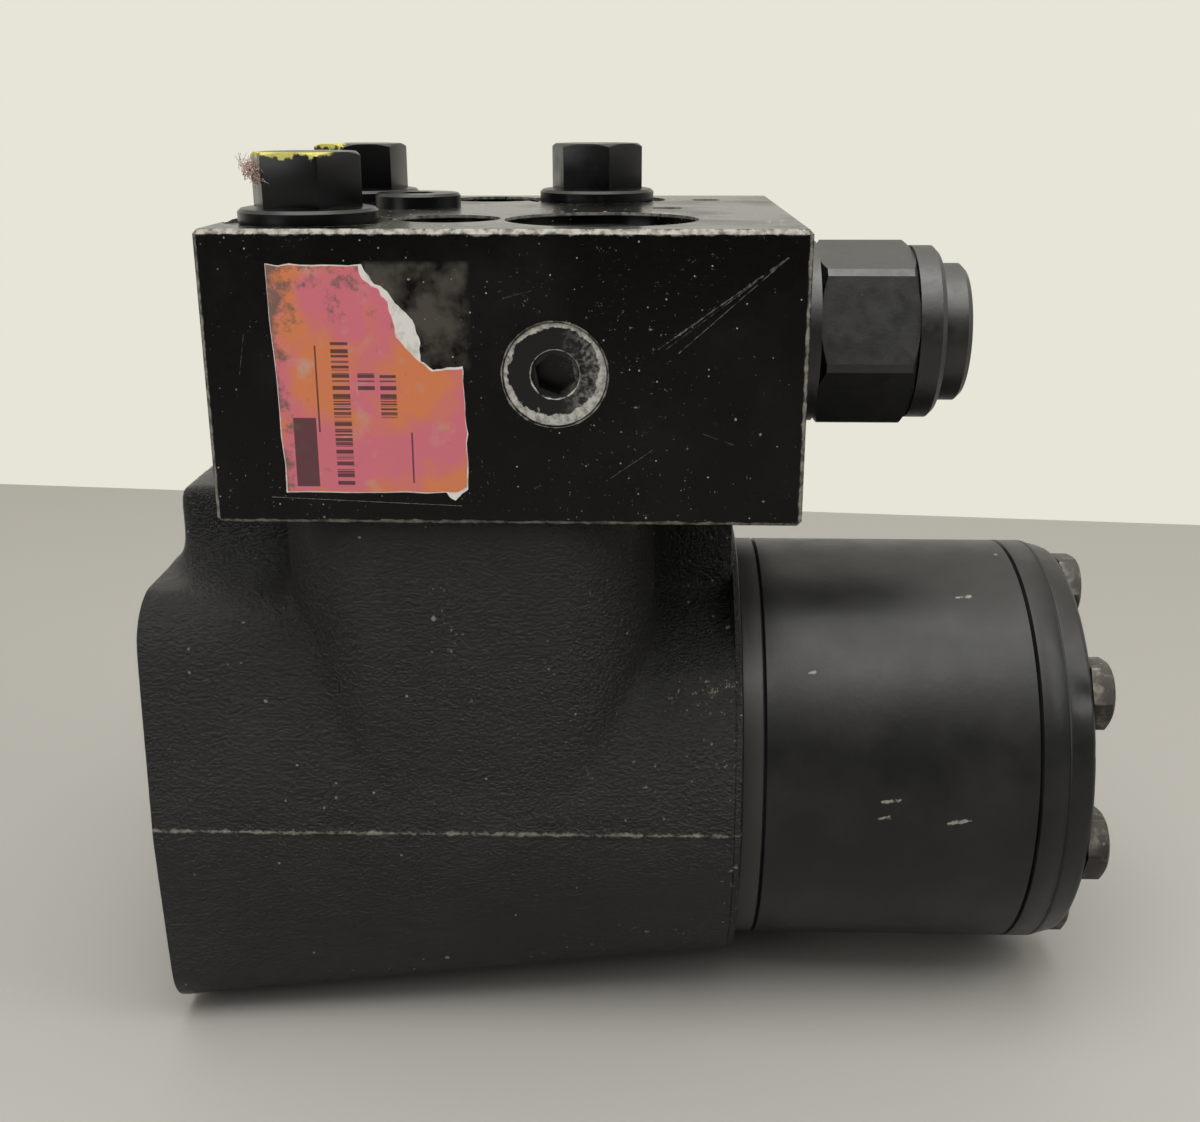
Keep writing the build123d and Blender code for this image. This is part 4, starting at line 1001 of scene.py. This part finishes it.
# cap screws: hex heads with the usual 30 degree chamfer
screws = {"flats": 12.7, "head": 4.5, "seat": 180.7, "turn": -4.0, "shank": 3.95}
head = carved(
    prism(6, screws["flats"], screws["head"], (screws["seat"], 0, 0), (1, 0, 0), screws["turn"]),
    lathe(
        [
            (screws["seat"], 0),
            (screws["seat"], 8),
            (183.9, 8),
            (185.05, 6.0),
            (185.2, 5.8),
            (185.2, 0),
        ],
        steps=72,
    ),
    "INTERSECT",
)
softEdges(head, 0.15, 25)
shank = lathe(
    [(97, 0), (97, 3.2), (97.8, screws["shank"]), (180.75, screws["shank"]), (180.75, 0)], steps=32
)
screw = joined(head, shank)
circle = casting["screwCircle"] * mm
spots = []
for i in range(casting["screws"]):
    turn = radians(90 + i * 360 / casting["screws"])
    spots.append(Matrix.Translation((0, circle * cos(turn), circle * sin(turn))))
allScrews = joined(*[moved(screw, spot) for spot in spots])
screw.free()
newPiece("cap_screw_set", allScrews, gunmetalBolt, "unit", ["cap_screws"], 30)

# hex plugs in the block's top
plugs = {
    "flats": 17.46,
    "flange": 12.4,  # radius
    "height": 12.4,  # above the seat
    "hex": 10.2,
    "places": (
        ("front_port_plug", *plugSpot, -6.0, paintedPlating),
        ("back_port_plug", 31.2, 33.0, 19.0, paintedPlating),
        ("far_port_plug", 83.0, 32.0, -13.0, blackPlating),
    ),
}
for name, x, y, turn, mat in plugs["places"]:
    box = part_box(name)
    seat, top = box[1].z / mm - plugs["height"], box[1].z / mm
    hexPart = carved(
        prism(6, plugs["flats"], plugs["hex"], (x, y, top - plugs["hex"]), (0, 0, 1), turn),
        lathe(
            [(top - 12, 0), (top - 12, 11), (top - 1.15, 11), (top, 8.9), (top, 0)],
            (x, y, 0),
            (0, 0, 1),
            72,
        ),
        "INTERSECT",
    )
    softEdges(hexPart, 0.3, 25)
    foot = lathe(
        [
            (seat - 11, 0),
            (seat - 11, 6.2),
            (seat - 10, 7.1),
            (seat - 1.8, 7.1),
            (seat - 1.7, 8.8),
            (seat, 11.9),
            (seat + 0.25, 12.35),
            (seat + 2.3, plugs["flange"]),
            (seat + 2.85, 11.8),
            (seat + 3.0, 11.0),
            (seat + 3.05, 9.3),
            (seat + 3.4, 8.6),
            (seat + 3.4, 0),
        ],
        (x, y, 0),
        (0, 0, 1),
    )
    newPiece(name + "_head", joined(hexPart, foot), mat, "unit", [name], 30)

# socket plug in the block's front: a round mouth worn over its hex socket
socketPlug = {"flats": 6.35, "depth": 6.5, "radius": 8.9}
radius = socketPlug["radius"]
plug = lathe(
    [(0, 0), (0, 8.75), (0.15, radius), (10.2, radius), (11, 8.1), (11, 0)], socketSpot, (0, 1, 0)
)
mouth = lathe([(-1, 0), (-1, 4.6), (0, 4.3), (0.9, 3.9), (1.1, 0)], socketSpot, (0, 1, 0), 64)
plug = carved(plug, mouth)
outside = (socketSpot[0], -49.1, socketSpot[2])
plug = carved(plug, prism(6, socketPlug["flats"], socketPlug["depth"], outside, (0, 1, 0), 20))
newPiece("face_plug_worn", plug, wornPlug, "unit", ["face_plug"], 30)

# a tuft of lint caught in the paint on the front plug's corner
lint = {
    "strands": 90,
    "length": 3.6,
    "thickness": 0.05,
    "place": (26.4, -36.9, 121.0),
    "top": 124.1,
    "seed": 11,
}
chance = Random(lint["seed"])
tuft = bmesh.new()
for i in range(lint["strands"]):
    strand = bmesh.new()
    length = lint["length"] * chance.uniform(0.5, 1.0) * mm
    thick = lint["thickness"] * mm
    bmesh.ops.create_cone(
        strand, cap_ends=True, segments=4, radius1=thick, radius2=thick, depth=length
    )
    long = [e for e in strand.edges if abs(e.verts[0].co.z - e.verts[1].co.z) > length / 2]
    bmesh.ops.subdivide_edges(strand, edges=long, cuts=9, use_grid_fill=True)
    curl, phase = chance.uniform(0.3, 0.9) * mm, chance.uniform(0, 6)
    for v in strand.verts:
        run = v.co.z / length * 5 + phase
        v.co.x += curl * sin(run)
        v.co.y += curl * cos(1.3 * run)
    tilt = Matrix.Rotation(chance.uniform(-1.1, 1.1), 4, "X")
    tilt = tilt @ Matrix.Rotation(chance.uniform(-0.9, 0.5), 4, "Y")
    shift = Vector([chance.gauss(0, 0.4) for i in range(3)])
    shift += Vector((-0.55, 0, 0.5)) * chance.uniform(-2.5, 3)
    put = Matrix.Translation((Vector(lint["place"]) + shift) * mm) @ tilt
    bmesh.ops.transform(strand, matrix=put, verts=strand.verts)
    joined(tuft, strand)
for v in tuft.verts:
    v.co.z = min(v.co.z, lint["top"] * mm)
bmesh.ops.recalc_face_normals(tuft, faces=tuft.faces)
newPiece("plug_lint", tuft, lintFibre, "unit", (), 60)
print("fasteners ready")


def tornSheet(name, outline, near, far, mat, ragged):
    # a thin sheet between two depths in front of the block, its outline roughened
    bm = bmesh.new()
    verts = [bm.verts.new((x * mm, far * mm, z * mm)) for x, z in outline]
    edges = [bm.edges.new((verts[i - 1], verts[i])) for i in range(len(verts))]
    bmesh.ops.subdivide_edges(bm, edges=edges, cuts=7)
    for v in bm.verts:
        v.co.x += ragged * mm * noise.noise(v.co * 700)
        v.co.z += ragged * mm * noise.noise(v.co * 700 + Vector((5, 3, 1)))
    bmesh.ops.contextual_create(bm, geom=bm.edges[:])
    grown = bmesh.ops.extrude_face_region(bm, geom=bm.faces[:])["geom"]
    grown = [g for g in grown if isinstance(g, bmesh.types.BMVert)]
    bmesh.ops.translate(bm, verts=grown, vec=(0, (near - far) * mm, 0))
    bmesh.ops.recalc_face_normals(bm, faces=bm.faces)
    return newPiece(name, bm, mat, "unit", ())


# label: a white backing with the printed film on it; the torn corner shows the backing
labelShape = {
    "paper": (
        (30.1, 106.6), (46.5, 106.5), (47.9, 104.1), (50.5, 102.1), (52.1, 99.8),
        (54.5, 97.6), (55.6, 94.6), (55.9, 90.4), (57.9, 89.0), (62.9, 89.7),
        (63.2, 81.3), (63.3, 67.9), (61.0, 65.9), (59.3, 67.2), (31.2, 67.1),
    ),
    "film": (
        (30.2, 106.4), (45.8, 106.3), (46.6, 104.2), (49.0, 102.4), (50.4, 100.4),
        (51.2, 97.8), (51.8, 94.4), (54.6, 91.2), (57.6, 88.7), (62.8, 89.3),
        (63.1, 81.3), (63.1, 68.3), (61.2, 67.6), (59.3, 67.4), (31.4, 67.3),
    ),
}
tornSheet("label_paper", labelShape["paper"], -48.43, -48.39, tornPaper, 0.35)
tornSheet("label_film", labelShape["film"], -48.48, -48.43, labelPrint, 0.30)

# finishes of the CAD solids that keep their own shape
finishes = {
    blockEnamel: ["manifold_block"],
    blackPlating: ["low_plug", "block_screws"],
    blackPhosphate: ["cartridge_body", "cartridge_cap"],
    groundSteel: [
        "spool", "sleeve", "cross_pin", "drive_shaft", "drive_spacer", "rotor_star",
        "fixed_race", "turning_race", "needle_cage", "needles", "check_ball", "poppet",
        "gland_bushing", "check_seat", "retaining_ring",
    ],
    springSteel: ["centring_springs", "poppet_spring"],
    nitrileRubber: [
        "dust_seal", "shaft_seal", "body_seals", "port_seals", "plug_seals", "cartridge_seal"
    ],
}
for mat, names in finishes.items():
    for name in names:
        slots = nodes[name].material_slots
        for i in range(len(slots)):
            slots[i].material = mat
print("finishes on")

view = {
    "place": (0.0941, -0.2830, 0.1309),
    "pitch": 17.93,  # degrees below level
    "yaw": 1.89,
    "roll": 0.1,
    "focal": 41.76,  # mm on a 36 mm wide sensor
}
camera = bpy.data.objects.new("camera", bpy.data.cameras.new("camera"))
camera.data.sensor_width = 36
camera.data.lens = view["focal"]
camera.data.clip_start = 0.01
camera.location = view["place"]
camera.rotation_euler = (radians(90 - view["pitch"]), radians(view["roll"]), radians(view["yaw"]))
bpy.context.scene.collection.objects.link(camera)
bpy.context.scene.camera = camera
bpy.context.scene.view_settings.view_transform = "Standard"

stage = {
    "floorColour": "#AAA7A1",
    "wallColour": "#E7E4D8",
    "benchDepth": 0.358,  # m behind the object's axis
    "benchSkew": 0.1,
    "worldLight": 0.42,
    "overheadLight": 1.25,
    "overheadShine": 2.5,  # how bright the ceiling shows in glossy paint
    "frontLight": 0.1,  # the room in front is dimmer than the wall behind
    "keyEnergy": 9.0,
    "keySize": 0.9,
    "keyPlace": (0.05, -0.25, 0.95),
    "fillEnergy": 3.5,
    "fillSize": 0.6,
    "fillPlace": (-0.75, -0.85, 0.45),
    "rimEnergy": 2.5,
    "rimSize": 0.5,
    "rimPlace": (0.8, -0.2, 0.55),
}
floorMat = newMaterial("floorPaint", stage["floorColour"], 0.6)
ground = bmesh.new()
bmesh.ops.create_grid(ground, x_segments=1, y_segments=1, size=3.0)
bmesh.ops.translate(ground, verts=ground.verts, vec=(0, 0, cadBox[0].z))
for v in ground.verts:
    if v.co.y > 0:
        v.co.y = stage["benchDepth"] - stage["benchSkew"] * v.co.x
floorData = bpy.data.meshes.new("floor")
ground.to_mesh(floorData)
ground.free()
floorData.materials.append(floorMat)
floor = bpy.data.objects.new("floor", floorData)
bpy.context.scene.collection.objects.link(floor)

world = bpy.data.worlds.new("world")
bpy.context.scene.world = world
world.use_nodes = True
rays = addNode(world, "LightPath").node.outputs
mirror = addNode(
    world, "Math", [rays["Is Glossy Ray"], rays["Is Transmission Ray"]], operation="MAXIMUM"
)
direction = addNode(world, "SeparateXYZ", [addNode(world, "TexCoord")]).node.outputs
back = addNode(world, "MapRange", [direction[1], -0.35, 0.4, stage["frontLight"], 1.0])
overhead = addNode(
    world, "MapRange", [mirror, 0, 1, stage["overheadLight"], stage["overheadShine"]]
)
above = addNode(world, "MapRange", [direction[2], 0.4, 0.85, 0.0, overhead])
soft = addNode(world, "Math", [back, above], operation="MAXIMUM")
lit = addNode(world, "MapRange", [mirror, 0, 1, stage["worldLight"], 1.0])
strength = addNode(world, "Math", [soft, lit], operation="MULTIPLY")
strength = addNode(world, "Math", [rays["Is Camera Ray"], strength], operation="MAXIMUM")
sky = world.node_tree.nodes["Background"]
sky.inputs["Color"].default_value = hexColour(stage["wallColour"])
world.node_tree.links.new(strength, sky.inputs["Strength"])


def softLamp(name, spot, energy, size, target=(0.09, 0, 0.03)):
    lamp = bpy.data.lights.new(name, "AREA")
    lamp.energy = energy
    lamp.size = size
    obj = bpy.data.objects.new(name, lamp)
    obj.location = spot
    obj.rotation_euler = (Vector(target) - Vector(spot)).to_track_quat("-Z", "Y").to_euler()
    bpy.context.scene.collection.objects.link(obj)


softLamp("keyLamp", stage["keyPlace"], stage["keyEnergy"], stage["keySize"])
softLamp("fillLamp", stage["fillPlace"], stage["fillEnergy"], stage["fillSize"])
softLamp("rimLamp", stage["rimPlace"], stage["rimEnergy"], stage["rimSize"])
print("stage ready")
